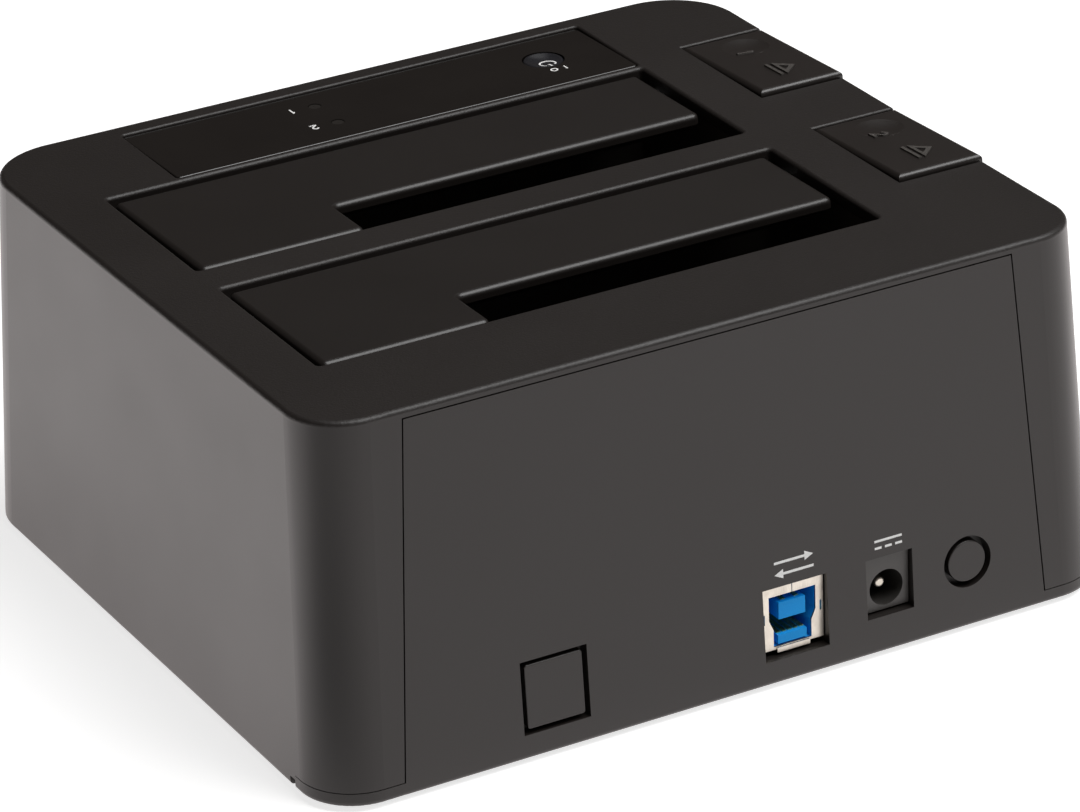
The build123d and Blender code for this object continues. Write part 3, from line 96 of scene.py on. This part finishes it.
# Printed and raised marks: face above the surface, foot below it, and longest edge
PRINT_LIFT = 0.03 * MM
RELIEF_LIFT = 0.28 * MM
MARK_SINK = 0.04 * MM
MARK_STEP = 0.4 * MM
MARK_CUTS = 3
MERGE_DISTANCE = 1e-7
CAST_START = 0.1

# Numbers beside the light pipes
PANEL_NUMBER_HEIGHT = 2.0 * MM
PANEL_NUMBER_WIDTH = 1.35 * MM
PANEL_NUMBER_OFFSET = 4.6 * MM
PIPE_RADIUS = 2.2 * MM

# Marks on and beside the power button, from its middle
SWITCH_MARK_HEIGHT = 1.5 * MM
SWITCH_MARK_STROKE = 0.32 * MM
SWITCH_MARK_OFFSET = 5.6 * MM
POWER_SIGN_RADIUS = 1.45 * MM
POWER_SIGN_STROKE = 0.36 * MM
POWER_SIGN_OFFSET = 1.6 * MM

# Signs above the data port and the power jack
LABEL_GAP = 3.4 * MM
DATA_SIGN_LENGTH = 7.6 * MM
DATA_SIGN_HEIGHT = 4.0 * MM
DATA_SIGN_STROKE = 0.45 * MM
SUPPLY_SIGN_LENGTH = 5.4 * MM
SUPPLY_SIGN_HEIGHT = 1.7 * MM
SUPPLY_SIGN_STROKE = 0.42 * MM
SUPPLY_SIGN_DROP = 0.9 * MM

# Marks on the eject keys, from the key's highest X and lowest Y
KEY_NUMBER_HEIGHT = 3.4 * MM
KEY_NUMBER_WIDTH = 2.3 * MM
KEY_NUMBER_X = 7.9 * MM
KEY_NUMBER_Y = 9.2 * MM
KEY_SIGN_WIDTH = 6.0 * MM
KEY_SIGN_STROKE = 0.6 * MM
KEY_SIGN_X = 8.4 * MM
KEY_SIGN_Y = 20.2 * MM

# Numeral: stroke as a share of its height, flag of the 1 as shares of its width, stroke and half
# height, bow of the 2 as angles and its foot as a share of the stroke
NUMERAL_STROKE_SHARE = 0.17
FLAG_REACH_SHARE = 0.34
FLAG_DROP_SHARE = 0.5
FLAG_TIP_SHARE = 0.52
FLAG_LOW_SHARE = 0.30
FLAG_ROOT_SHARE = 0.62
BOW_START = math.radians(165)
BOW_SWEEP = math.radians(-190)
BOW_STEPS = 14
FOOT_SHARE = 1.25

# Signs: the power sign's opening and bar, the arrows' heads and their spread, the place of the
# ring, and the eject sign's triangle and bar
POWER_GAP = math.radians(34)
POWER_STEPS = 40
POWER_BAR_SHARES = (0.25, 1.22)
ARROW_HEAD_SHARE = 0.42
ARROW_SPREAD_SHARE = 0.27
RING_PLACE_SHARE = 0.55
RING_STEPS = 28
TRIANGLE_SHARE = 0.55
EJECT_BAR_SHARES = (2.2, 1.2)

# Heights between which the walls' satin turns into the top's leathery grain
SATIN_TOP = 66.9 * MM
GRAIN_BOTTOM = 67.5 * MM

# Size of the broad variation in tone of moulded plastic
BROAD_TONE = 22 * MM


class Value:
    """One value in a node tree, so that shader maths reads as plain arithmetic."""

    def __init__(self, nodes, socket):
        self.nodes = nodes
        self.socket = socket

    def __add__(self, other):
        return self.nodes.maths("ADD", self, other)

    def __radd__(self, other):
        return self.nodes.maths("ADD", other, self)

    def __mul__(self, other):
        return self.nodes.maths("MULTIPLY", self, other)

    def __rmul__(self, other):
        return self.nodes.maths("MULTIPLY", other, self)


class NodeTree:
    """The shader nodes of one material or of the world."""

    def __init__(self, tree):
        self.tree = tree

    def node(self, kind, settings=None, **values):
        """Any node: its type, its settings, and the values or links of its sockets."""
        made = self.tree.nodes.new("ShaderNode" + kind)
        for name, value in (settings or {}).items():
            if name == "stops":
                self.set_stops(made.color_ramp, value)
            else:
                setattr(made, name, value)
        for name, value in values.items():
            self.feed(self.socket_of(made.inputs, name), value)
        return made

    def set_stops(self, ramp, stops):
        while len(ramp.elements) < len(stops):
            ramp.elements.new(1.0)
        for element, (place, colour) in zip(ramp.elements, stops):
            element.position = place
            element.color = (*colour, 1.0)

    def socket_of(self, sockets, name):
        """The socket with that identifier, or else with that name in lower case."""
        for socket in sockets:
            if socket.identifier == name:
                return socket
        for socket in sockets:
            if socket.name.lower().replace(" ", "_") == name.lower():
                return socket
        raise KeyError(name)

    def feed(self, socket, value):
        if isinstance(value, Value):
            self.tree.links.new(value.socket, socket)
        elif isinstance(value, bpy.types.NodeSocket):
            self.tree.links.new(value, socket)
        elif isinstance(value, tuple) and len(value) == 3 and socket.type == "RGBA":
            socket.default_value = (*value, 1.0)
        else:
            socket.default_value = value

    def maths(self, operation, first, second):
        made = self.node("Math", {"operation": operation})
        self.feed(made.inputs[0], first)
        self.feed(made.inputs[1], second)
        return Value(self, made.outputs[0])

    def value(self, node, *names):
        """The node's output with the first of these names that it has."""
        return Value(self, next(node.outputs[name] for name in names if name in node.outputs))

    def blend(self, share, first, second):
        """Colour between two colours."""
        made = self.node("Mix", {"data_type": "RGBA"}, Factor_Float=share, A_Color=first, B_Color=second)
        return self.socket_of(made.outputs, "Result_Color")

    def ramp(self, share, *stops):
        return self.node("ValToRGB", {"stops": stops}, Fac=share).outputs["Color"]

    def between(self, value, low, high, to_low=0.0, to_high=1.0):
        made = self.node("MapRange", None, Value=value, From_Min=low, From_Max=high,
                         To_Min=to_low, To_Max=to_high)
        return self.value(made, "Result")

    def vector(self, operation, first, second):
        made = self.node("VectorMath", {"operation": operation})
        self.feed(made.inputs[0], first)
        self.feed(made.inputs[1], second)
        return made


class Finish(NodeTree):
    """A surface finish: a material, its main shader and the nodes that feed it."""

    def __init__(self, name, **constants):
        self.material = bpy.data.materials.new(name)
        self.material.use_nodes = True
        super().__init__(self.material.node_tree)
        self.shader = self.tree.nodes["Principled BSDF"]
        for words, value in constants.items():
            socket = self.shader.inputs[words.replace("_", " ").title().replace("Ior", "IOR")]
            self.feed(socket, value)

    def place(self):
        """Place on the object, in metres."""
        return self.node("TexCoord").outputs["Object"]

    def height(self):
        return self.value(self.node("SeparateXYZ", None, Vector=self.place()), "Z")

    def stretched(self, *shares):
        """Place with each axis scaled, for grain that runs one way."""
        return self.vector("MULTIPLY", self.place(), shares).outputs["Vector"]

    def noise(self, size, detail=2.0, rough=0.5, place=None):
        """Soft noise with features of about one size, in metres."""
        made = self.node("TexNoise", None, Vector=place or self.place(), Scale=1 / size,
                         Detail=detail, Roughness=rough)
        return self.value(made, "Factor", "Fac")

    def cells(self, size):
        """Distance to the nearest of scattered points, in shares of the size."""
        made = self.node("TexVoronoi", None, Vector=self.place(), Scale=1 / size)
        return self.value(made, "Distance")

    def colour(self, source):
        self.feed(self.shader.inputs["Base Color"], source)

    def roughness(self, source):
        self.feed(self.shader.inputs["Roughness"], source)

    def bump(self, height, depth, strength=1.0):
        """Relief of a height field, with the depth of its full range in metres."""
        made = self.node("Bump", None, Height=height, Strength=strength, Distance=depth)
        self.feed(self.shader.inputs["Normal"], made.outputs["Normal"])


def moulded(name, dark, light, grain, depth, rough, spread, specular=0.5):
    """Moulded plastic with a spark-eroded grain, faint tone variation and uneven sheen."""
    made = Finish(name, specular_ior_level=specular)
    fine = made.noise(grain, detail=3.0, rough=0.6)
    coarse = made.noise(grain * 3)
    broad = made.noise(BROAD_TONE)
    pits = made.cells(grain * 1.4)
    tone = fine * 0.55 + broad * 0.45
    made.colour(made.ramp(tone, (0.3, dark), (0.72, light)))
    made.roughness(fine * spread + broad * spread + (rough - spread))
    made.bump(fine * 0.6 + pits * 0.3 + coarse * 0.25, depth)
    return made.material


def metal(name, dark, light, rough, grain, run):
    """Bare metal with a rolled grain along one axis and soft stains."""
    made = Finish(name, metallic=1.0)
    lines = made.noise(grain, detail=3.0, place=made.stretched(*run))
    stain = made.noise(1.8 * MM, detail=3.0)
    made.colour(made.ramp(lines * 0.4 + stain * 0.6, (0.3, dark), (0.7, light)))
    made.roughness(lines * 0.14 + stain * 0.10 + (rough - 0.1))
    made.bump(lines, 0.006 * MM, 0.5)
    return made.material


MOULDED_PLASTICS = {
    "door_plastic": dict(dark=(0.0070, 0.0054, 0.0046), light=(0.0100, 0.0079, 0.0068),
                         grain=0.18 * MM, depth=0.012 * MM, rough=0.40, spread=0.08),
    "key_plastic": dict(dark=(0.0100, 0.0079, 0.0069), light=(0.0136, 0.0110, 0.0097),
                        grain=0.16 * MM, depth=0.008 * MM, rough=0.34, spread=0.08, specular=0.55),
    # frame_plastic holds painted light: its colour is lifted well above black plastic so that the dim
    # insides of the bays read lighter.
    "frame_plastic": dict(dark=(0.026, 0.022, 0.019), light=(0.038, 0.032, 0.028),
                          grain=0.35 * MM, depth=0.03 * MM, rough=0.55, spread=0.10, specular=0.4),
    "jack_plastic": dict(dark=(0.028, 0.026, 0.024), light=(0.042, 0.039, 0.036),
                         grain=0.14 * MM, depth=0.008 * MM, rough=0.42, spread=0.08, specular=0.6),
    "socket_plastic": dict(dark=(0.012, 0.012, 0.012), light=(0.020, 0.020, 0.021),
                           grain=0.12 * MM, depth=0.006 * MM, rough=0.38, spread=0.08),
    "component_black": dict(dark=(0.012, 0.012, 0.013), light=(0.022, 0.022, 0.023),
                            grain=0.10 * MM, depth=0.012 * MM, rough=0.5, spread=0.1),
    "port_blue": dict(dark=(0.002, 0.270, 0.760), light=(0.010, 0.370, 0.880),
                      grain=0.15 * MM, depth=0.006 * MM, rough=0.46, spread=0.08, specular=0.25),
    "foot_rubber": dict(dark=(0.012, 0.012, 0.012), light=(0.024, 0.023, 0.022),
                        grain=0.25 * MM, depth=0.03 * MM, rough=0.72, spread=0.1, specular=0.3),
}

METALS = {
    "port_metal": dict(dark=(0.50, 0.465, 0.41), light=(0.72, 0.68, 0.60),
                       rough=0.34, grain=0.12 * MM, run=(1.0, 1.0, 0.08)),
    "spring_steel": dict(dark=(0.42, 0.42, 0.42), light=(0.66, 0.66, 0.66),
                         rough=0.28, grain=0.10 * MM, run=(0.2, 1.0, 1.0)),
    "tinned_steel": dict(dark=(0.50, 0.50, 0.51), light=(0.74, 0.74, 0.75),
                         rough=0.3, grain=0.15 * MM, run=(1.0, 1.0, 0.3)),
    "screw_steel": dict(dark=(0.055, 0.055, 0.058), light=(0.14, 0.14, 0.145),
                        rough=0.42, grain=0.10 * MM, run=(1.0, 1.0, 1.0)),
    "contact_gold": dict(dark=(0.62, 0.42, 0.12), light=(0.86, 0.64, 0.26),
                         rough=0.26, grain=0.08 * MM, run=(1.0, 1.0, 0.2)),
}


def casing_plastic():
    """Leathery grain on the top of the casing, satin walls below it."""
    made = Finish("casing_plastic", specular_ior_level=0.5)
    top = made.between(made.height(), SATIN_TOP, GRAIN_BOTTOM)
    fine = made.noise(0.28 * MM, detail=3.0, rough=0.6)
    coarse = made.noise(0.85 * MM)
    broad = made.noise(26 * MM)
    pits = made.cells(0.42 * MM)
    satin = made.noise(0.16 * MM)
    made.colour(made.ramp(fine * 0.5 + broad * 0.5, (0.3, (0.0088, 0.0067, 0.0058)),
                          (0.72, (0.0128, 0.0101, 0.0089))))
    made.roughness(top * 0.07 + fine * 0.06 + broad * 0.08 + 0.35)
    grain = fine * 0.6 + pits * 0.35 + coarse * 0.3
    made.bump(grain * top + satin * 0.16, 0.055 * MM)
    return made.material


def panel_gloss():
    """Polished black plate with a faint ripple and a few fine wipe marks."""
    made = Finish("panel_gloss", specular_ior_level=0.6)
    broad = made.noise(14 * MM)
    wipes = made.noise(0.5 * MM, place=made.stretched(1.0, 0.08, 1.0))
    made.colour(made.ramp(broad, (0.35, (0.0040, 0.0031, 0.0026)),
                          (0.7, (0.0058, 0.0047, 0.0040))))
    made.roughness(wipes * 0.06 + broad * 0.05 + 0.08)
    made.bump(broad, 0.02 * MM, 0.4)
    return made.material


def power_button_plastic():
    """Smooth, slightly bluish black cap."""
    made = Finish("power_button_plastic", specular_ior_level=0.6)
    broad = made.noise(3 * MM)
    made.colour(made.ramp(broad, (0.3, (0.0070, 0.0076, 0.0105)),
                          (0.75, (0.0110, 0.0120, 0.0160))))
    made.roughness(broad * 0.08 + 0.2)
    made.bump(made.noise(0.2 * MM), 0.004 * MM)
    return made.material


def lamp_lens():
    """Dark window of a status light, with a slight haze."""
    made = Finish("lamp_lens", specular_ior_level=0.6)
    haze = made.noise(0.4 * MM, detail=3.0)
    made.colour(made.ramp(haze, (0.3, (0.010, 0.009, 0.008)), (0.7, (0.019, 0.017, 0.015))))
    made.roughness(haze * 0.1 + 0.16)
    made.bump(haze, 0.004 * MM)
    return made.material


def circuit_board():
    """Green solder resist over copper tracks."""
    made = Finish("circuit_board", specular_ior_level=0.5)
    lanes = made.node("TexBrick", {"offset": 0.37, "offset_frequency": 2}, Vector=made.place(),
                      Scale=180.0, Mortar_Size=0.012)
    track = made.value(lanes, "Fac", "Factor")
    weave = made.noise(0.5 * MM)
    made.colour(made.blend(track * 0.8 + weave * 0.2,
                           (0.006, 0.060, 0.028), (0.022, 0.130, 0.055)))
    made.roughness(weave * 0.1 + 0.25)
    made.bump(track + weave * 0.2, 0.03 * MM)
    return made.material


def ribbon_insulation():
    """Grey insulation drawn in between the wires, with painted shade: darker in the grooves between the
    wires.
    """
    made = Finish("ribbon_insulation", specular_ior_level=0.4)
    wires = made.node("TexWave", {"wave_type": "BANDS", "bands_direction": "X"},
                      Vector=made.place(), Scale=1 / (6.28 * MM))
    rib = made.value(wires, "Fac", "Factor")
    haze = made.noise(0.3 * MM)
    # Painted shade: the tone follows the same bands as the relief, darker in the grooves between the
    # wires.
    made.colour(made.ramp(rib * 0.8 + haze * 0.2, (0.2, (0.20, 0.20, 0.20)),
                          (0.8, (0.38, 0.38, 0.37))))
    made.roughness(haze * 0.1 + 0.45)
    made.bump(rib, 0.15 * MM)
    return made.material


def raised_mark():
    """Raised signs on the keys, slightly shiny, with a painted highlight: their colour is much lighter
    than the key's, in place of glints on them.
    """
    made = Finish("raised_mark", specular_ior_level=0.8)
    glint_noise = made.noise(0.3 * MM, detail=3.0)
    # Painted highlight: the signs are coloured several times lighter than the key plastic to stand in
    # for glints on them; the noise varies that tone, the roughness and the bump.
    made.colour(made.ramp(glint_noise, (0.3, (0.034, 0.031, 0.028)), (0.7, (0.090, 0.084, 0.078))))
    made.roughness(glint_noise * 0.12 + 0.26)
    made.bump(glint_noise, 0.02 * MM)
    return made.material


def white_ink():
    """Screen-printed white of the marks."""
    made = Finish("white_ink", specular_ior_level=0.4)
    screen = made.noise(0.15 * MM, detail=3.0)
    made.colour(made.ramp(screen, (0.25, (0.78, 0.78, 0.77)), (0.65, (0.90, 0.90, 0.89))))
    made.roughness(screen * 0.15 + 0.42)
    made.bump(screen, 0.008 * MM)
    return made.material


OTHER_FINISHES = {
    "casing_plastic": casing_plastic,
    "panel_gloss": panel_gloss,
    "power_button_plastic": power_button_plastic,
    "lamp_lens": lamp_lens,
    "circuit_board": circuit_board,
    "ribbon_insulation": ribbon_insulation,
}


def dress_nodes():
    """Gives every node the finish of its material slot."""
    finishes = {slot: moulded(slot, **look) for slot, look in MOULDED_PLASTICS.items()}
    finishes.update((slot, metal(slot, **look)) for slot, look in METALS.items())
    finishes.update((slot, make()) for slot, make in OTHER_FINISHES.items())
    for entry in frame["record"]["subparts"]:
        node = frame["nodes"][entry["node"]]
        node.data.materials.clear()
        node.data.materials.append(finishes[entry["material_slot"]])


def new_piece(name, mesh, material, body):
    piece = bpy.data.objects.new(name, mesh)
    bpy.context.scene.collection.objects.link(piece)
    mesh.materials.clear()
    mesh.materials.append(material)
    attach(piece, body)
    return piece


def add_key_springs():
    """Copies of the springs under the eject keys, each with a mesh of its own, on the station; the parts
    themselves are hidden.
    """
    for number in (1, 2):
        node = frame["nodes"][f"eject_spring_{number}"]
        mesh = node.data.copy()
        spring = new_piece(f"key_spring_{number}", mesh, node.data.materials[0], "station")
        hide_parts(node.name)
        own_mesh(spring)


def flat_mesh(name, shapes):
    """One mesh from several flat outlines, each a list of corners, as thin filled faces."""
    made = bmesh.new()
    for shape in shapes:
        corners = [made.verts.new((x, y, 0.0)) for x, y in shape]
        made.faces.new(corners)
    bmesh.ops.remove_doubles(made, verts=made.verts, dist=MERGE_DISTANCE)
    mesh = bpy.data.meshes.new(name)
    made.to_mesh(mesh)
    made.free()
    return mesh


def bar(x0, x1, y0, y1):
    return [(x0, y0), (x1, y0), (x1, y1), (x0, y1)]


def on_circle(radius, angle):
    return radius * math.cos(angle), radius * math.sin(angle)


def ring(radius, width, start, sweep, steps):
    """Part of a ring as a row of small four-sided faces. Angles are in radians."""
    shapes = []
    inner = radius - width / 2
    outer = radius + width / 2
    for index in range(steps):
        a = start + sweep * index / steps
        b = start + sweep * (index + 1) / steps
        shapes.append([on_circle(inner, a), on_circle(outer, a),
                       on_circle(outer, b), on_circle(inner, b)])
    return shapes


def moved(shapes, x, y):
    return [[(cx + x, cy + y) for cx, cy in shape] for shape in shapes]


def numeral(number, height, width):
    """Plain 1 or 2, with its middle at the origin, drawn with one stroke width."""
    stroke = height * NUMERAL_STROKE_SHARE
    half = height / 2
    if number == 1:
        tip_x = -width * FLAG_REACH_SHARE
        flag = [(tip_x, half * FLAG_TIP_SHARE),
                (tip_x + stroke * FLAG_DROP_SHARE, half * FLAG_LOW_SHARE),
                (-stroke / 2, half * FLAG_ROOT_SHARE), (-stroke / 2, half)]
        return [bar(-stroke / 2, stroke / 2, -half, half), flag]
    bow = width / 2 - stroke / 2
    bow_level = half - bow - stroke / 2
    shapes = moved(ring(bow, stroke, BOW_START, BOW_SWEEP, BOW_STEPS), 0.0, bow_level)
    foot_top = -half + stroke
    inner_x, inner_y = on_circle(bow - stroke / 2, BOW_START + BOW_SWEEP)
    outer_x, outer_y = on_circle(bow + stroke / 2, BOW_START + BOW_SWEEP)
    shapes.append([(inner_x, bow_level + inner_y), (-width / 2, foot_top),
                   (-width / 2 + stroke * FOOT_SHARE, foot_top), (outer_x, bow_level + outer_y)])
    shapes.append(bar(-width / 2, width / 2, -half, foot_top))
    return shapes


def power_sign(radius, stroke):
    """A ring that is open at its top, with a bar in the opening."""
    shapes = ring(radius, stroke, math.pi / 2 + POWER_GAP, 2 * math.pi - 2 * POWER_GAP, POWER_STEPS)
    low, high = POWER_BAR_SHARES
    shapes.append(bar(-stroke / 2, stroke / 2, radius * low, radius * high))
    return shapes


def direct_current_sign(length, height, stroke):
    """A solid line over three dashes."""
    shapes = [bar(-length / 2, length / 2, height / 2 - stroke, height / 2)]
    dash = length / 4
    for index in range(3):
        left = -length / 2 + index * (length - dash) / 2
        shapes.append(bar(left, left + dash, -height / 2, -height / 2 + stroke))
    return shapes


def double_arrow(length, height, stroke):
    """Two plain arrows side by side that point opposite ways."""
    shapes = []
    head = height * ARROW_HEAD_SHARE
    for side in (1, -1):
        y = side * height * ARROW_SPREAD_SHARE
        tip = side * length / 2
        neck = tip - side * head
        tail = -side * length / 2
        shapes.append(bar(min(tail, neck), max(tail, neck), y - stroke / 2, y + stroke / 2))
        shapes.append([(tip, y), (neck, y + head / 2), (neck, y - head / 2)])
    return shapes


def on_and_off_marks(height, stroke):
    """A short bar beside a small ring, the common marks for on and off."""
    radius = (height - stroke) / 2
    shapes = [bar(-height - stroke / 2, -height + stroke / 2, -height / 2, height / 2)]
    circle = ring(radius, stroke, 0.0, 2 * math.pi, RING_STEPS)
    return shapes + moved(circle, height * RING_PLACE_SHARE, 0.0)


def eject_sign(width, stroke):
    """An open triangle over a bar."""
    outer = [(-width / 2, 0.0), (width / 2, 0.0), (0.0, width * TRIANGLE_SHARE)]
    middle = sum(y for _, y in outer) / 3
    share = 1 - stroke / middle
    inner = [(x * share, middle + (y - middle) * share) for x, y in outer]
    sides = [[outer[side - 1], outer[side], inner[side], inner[side - 1]] for side in range(3)]
    low, high = EJECT_BAR_SHARES
    return sides + [bar(-width / 2, width / 2, -stroke * low, -stroke * high)]


def divided(mesh):
    """Cuts long edges, so that a mark can follow a curved surface."""
    made = bmesh.new()
    made.from_mesh(mesh)
    for _ in range(MARK_CUTS):
        long_edges = [edge for edge in made.edges if edge.calc_length() > MARK_STEP]
        if not long_edges:
            break
        bmesh.ops.subdivide_edges(made, edges=long_edges, cuts=1, use_grid_fill=True)
    bmesh.ops.triangulate(made, faces=made.faces)
    made.to_mesh(mesh)
    made.free()
    return mesh


def surface_of(node):
    made = bmesh.new()
    made.from_mesh(frame["nodes"][node].data)
    tree = BVHTree.FromBMesh(made)
    made.free()
    return tree


def lay_on(mesh, place, node, away, lift):
    """Drops a flat mark on a node's surface along one direction and gives it a thickness.
    The mark's foot is sunk below the surface and its face stands above it by the lift."""
    tree = surface_of(node)
    made = bmesh.new()
    made.from_mesh(mesh)
    made.transform(place)
    for corner in made.verts:
        hit = tree.ray_cast(corner.co + away * CAST_START, -away)[0]
        corner.co = hit + away * lift
    faces = made.faces[:]
    grown = bmesh.ops.extrude_face_region(made, geom=faces)
    lower = [item for item in grown["geom"] if isinstance(item, bmesh.types.BMVert)]
    bmesh.ops.translate(made, verts=lower, vec=-away * (lift + MARK_SINK))
    bmesh.ops.recalc_face_normals(made, faces=made.faces)
    made.to_mesh(mesh)
    made.free()


def mark(name, shapes, place, node, away, body, material, lift=PRINT_LIFT):
    mesh = divided(flat_mesh(name, shapes))
    lay_on(mesh, place, node, away, lift)
    new_piece(name, mesh, material, body)


def facing_up(x, y, turn=0.0):
    """Plane of a mark on the top, read from the front unless it is turned."""
    return Matrix.Translation((x, y, 0.0)) @ Matrix.Rotation(turn, 4, "Z")


def facing_rear(x, level):
    """Plane of a mark on the rear, upright, read from behind."""
    turned = Matrix(((-1, 0, 0, 0), (0, 0, 1, 0), (0, 1, 0, 0), (0, 0, 0, 1)))
    return Matrix.Translation((x, 0.0, level)) @ turned


def middle_of(node):
    low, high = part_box(node)
    return (low + high) / 2


def add_panel_marks(ink):
    """Numbers beside the light pipes and the marks of the power button."""
    up = Vector((0, 0, 1))
    low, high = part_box("light_pipes")
    number_x = (low.x + high.x) / 2 + PANEL_NUMBER_OFFSET
    for number, y in ((1, low.y + PIPE_RADIUS), (2, high.y - PIPE_RADIUS)):
        mark(f"panel_number_{number}", numeral(number, PANEL_NUMBER_HEIGHT, PANEL_NUMBER_WIDTH),
             facing_up(number_x, y), "indicator_panel", up, "station", ink)
    button = middle_of("power_button")
    mark("switch_marks", on_and_off_marks(SWITCH_MARK_HEIGHT, SWITCH_MARK_STROKE),
         facing_up(button.x, button.y + SWITCH_MARK_OFFSET), "indicator_panel", up, "station", ink)
    mark("power_sign", power_sign(POWER_SIGN_RADIUS, POWER_SIGN_STROKE),
         facing_up(button.x, button.y + POWER_SIGN_OFFSET), "power_button", up, "power_key", ink)


def add_rear_marks(ink):
    """Signs above the data port and the power jack."""
    rear = Vector((0, 1, 0))
    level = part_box("data_port_shell")[1].z + LABEL_GAP
    mark("data_sign", double_arrow(DATA_SIGN_LENGTH, DATA_SIGN_HEIGHT, DATA_SIGN_STROKE),
         facing_rear(middle_of("data_port_shell").x, level), "base_tray", rear, "station", ink)
    mark("supply_sign", direct_current_sign(SUPPLY_SIGN_LENGTH, SUPPLY_SIGN_HEIGHT, SUPPLY_SIGN_STROKE),
         facing_rear(middle_of("power_jack_body").x, level - SUPPLY_SIGN_DROP), "base_tray", rear,
         "station", ink)


def add_key_marks(glint_finish):
    """Raised number and sign of each eject key, which ride with the key."""
    up = Vector((0, 0, 1))
    sideways = math.pi / 2
    for number in (1, 2):
        key = f"eject_button_{number}"
        body = f"eject_key_{number}"
        low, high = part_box(key)
        # The number and sign get the finish with the painted highlight.
        mark(f"key_number_{number}", numeral(number, KEY_NUMBER_HEIGHT, KEY_NUMBER_WIDTH),
             facing_up(high.x - KEY_NUMBER_X, low.y + KEY_NUMBER_Y, sideways), key, up, body, glint_finish,
             lift=RELIEF_LIFT)
        mark(f"key_sign_{number}", eject_sign(KEY_SIGN_WIDTH, KEY_SIGN_STROKE),
             facing_up(high.x - KEY_SIGN_X, low.y + KEY_SIGN_Y, sideways), key, up, body, glint_finish,
             lift=RELIEF_LIFT)


def pale_floor():
    """A pale floor with one glow for the camera and another in shiny faces."""
    mesh = bpy.data.meshes.new("floor")
    made = bmesh.new()
    corners = bar(-FLOOR_HALF, FLOOR_HALF, -FLOOR_HALF, FLOOR_HALF)
    made.faces.new([made.verts.new((x, y, 0)) for x, y in corners])
    made.to_mesh(mesh)
    made.free()
    floor = bpy.data.objects.new("floor", mesh)
    bpy.context.scene.collection.objects.link(floor)
    pale = Finish("pale_floor", base_color=(FLOOR_TONE, FLOOR_TONE, FLOOR_TONE),
                  roughness=FLOOR_ROUGHNESS, specular_ior_level=0.0, emission_strength=1.0)
    rays = pale.node("LightPath")
    reach = pale.vector("DISTANCE", pale.place(), SHADE_MIDDLE)
    lit = pale.between(pale.value(reach, "Value"), SHADE_INNER, SHADE_OUTER, SHADE_GLOW, 1.0)
    across = pale.value(pale.node("SeparateXYZ", None, Vector=pale.place()), "Y")
    end_side = pale.between(across, REAR_EDGE, SIDE_EDGE, REAR_GLOW, SIDE_GLOW)
    reflected = pale.value(rays, "Is Glossy Ray")
    glow = pale.value(rays, "Is Camera Ray") * CAMERA_GLOW + reflected * lit * end_side
    warm = pale.blend(reflected, WHITE, GLOSS_TINT)
    shine = pale.node("VectorMath", {"operation": "SCALE"}, Scale=glow)
    pale.feed(shine.inputs[0], warm)
    pale.feed(pale.shader.inputs["Emission Color"], shine.outputs["Vector"])
    mesh.materials.append(pale.material)


def surround():
    """White for the camera and dim for everything else."""
    world = bpy.data.worlds.new("surround")
    bpy.context.scene.world = world
    world.use_nodes = True
    nodes = NodeTree(world.node_tree)
    seen = nodes.value(nodes.node("LightPath"), "Is Camera Ray")
    nodes.feed(nodes.tree.nodes["Background"].inputs["Color"], nodes.blend(seen, SURROUND_LIGHT, WHITE))


def lamps():
    for name, (place, aim, side, power) in LAMPS.items():
        data = bpy.data.lights.new(name, "AREA")
        data.shape = "RECTANGLE"
        data.size = side
        data.size_y = side
        data.energy = power
        made = bpy.data.objects.new(name, data)
        made.location = place
        made.rotation_euler = (Vector(aim) - Vector(place)).to_track_quat("-Z", "Y").to_euler()
        bpy.context.scene.collection.objects.link(made)


def camera():
    data = bpy.data.cameras.new("camera")
    data.sensor_width = SENSOR_WIDTH
    data.lens = CAMERA_LENS
    data.clip_start = CLIP_NEAR
    data.clip_end = CLIP_FAR
    made = bpy.data.objects.new("camera", data)
    made.rotation_mode = "QUATERNION"
    look = (CAMERA_AIM - CAMERA_PLACE).to_track_quat("-Z", "Y")
    made.location = CAMERA_PLACE
    made.rotation_quaternion = look @ Matrix.Rotation(CAMERA_ROLL, 4, "Z").to_quaternion()
    bpy.context.scene.collection.objects.link(made)
    bpy.context.scene.camera = made


bpy.context.scene.view_settings.view_transform = "Standard"
dress_nodes()
add_key_springs()
printed = white_ink()
add_panel_marks(printed)
add_rear_marks(printed)
# The raised signs on the keys get the finish with the painted highlight.
add_key_marks(raised_mark())
pale_floor()
surround()
lamps()
camera()
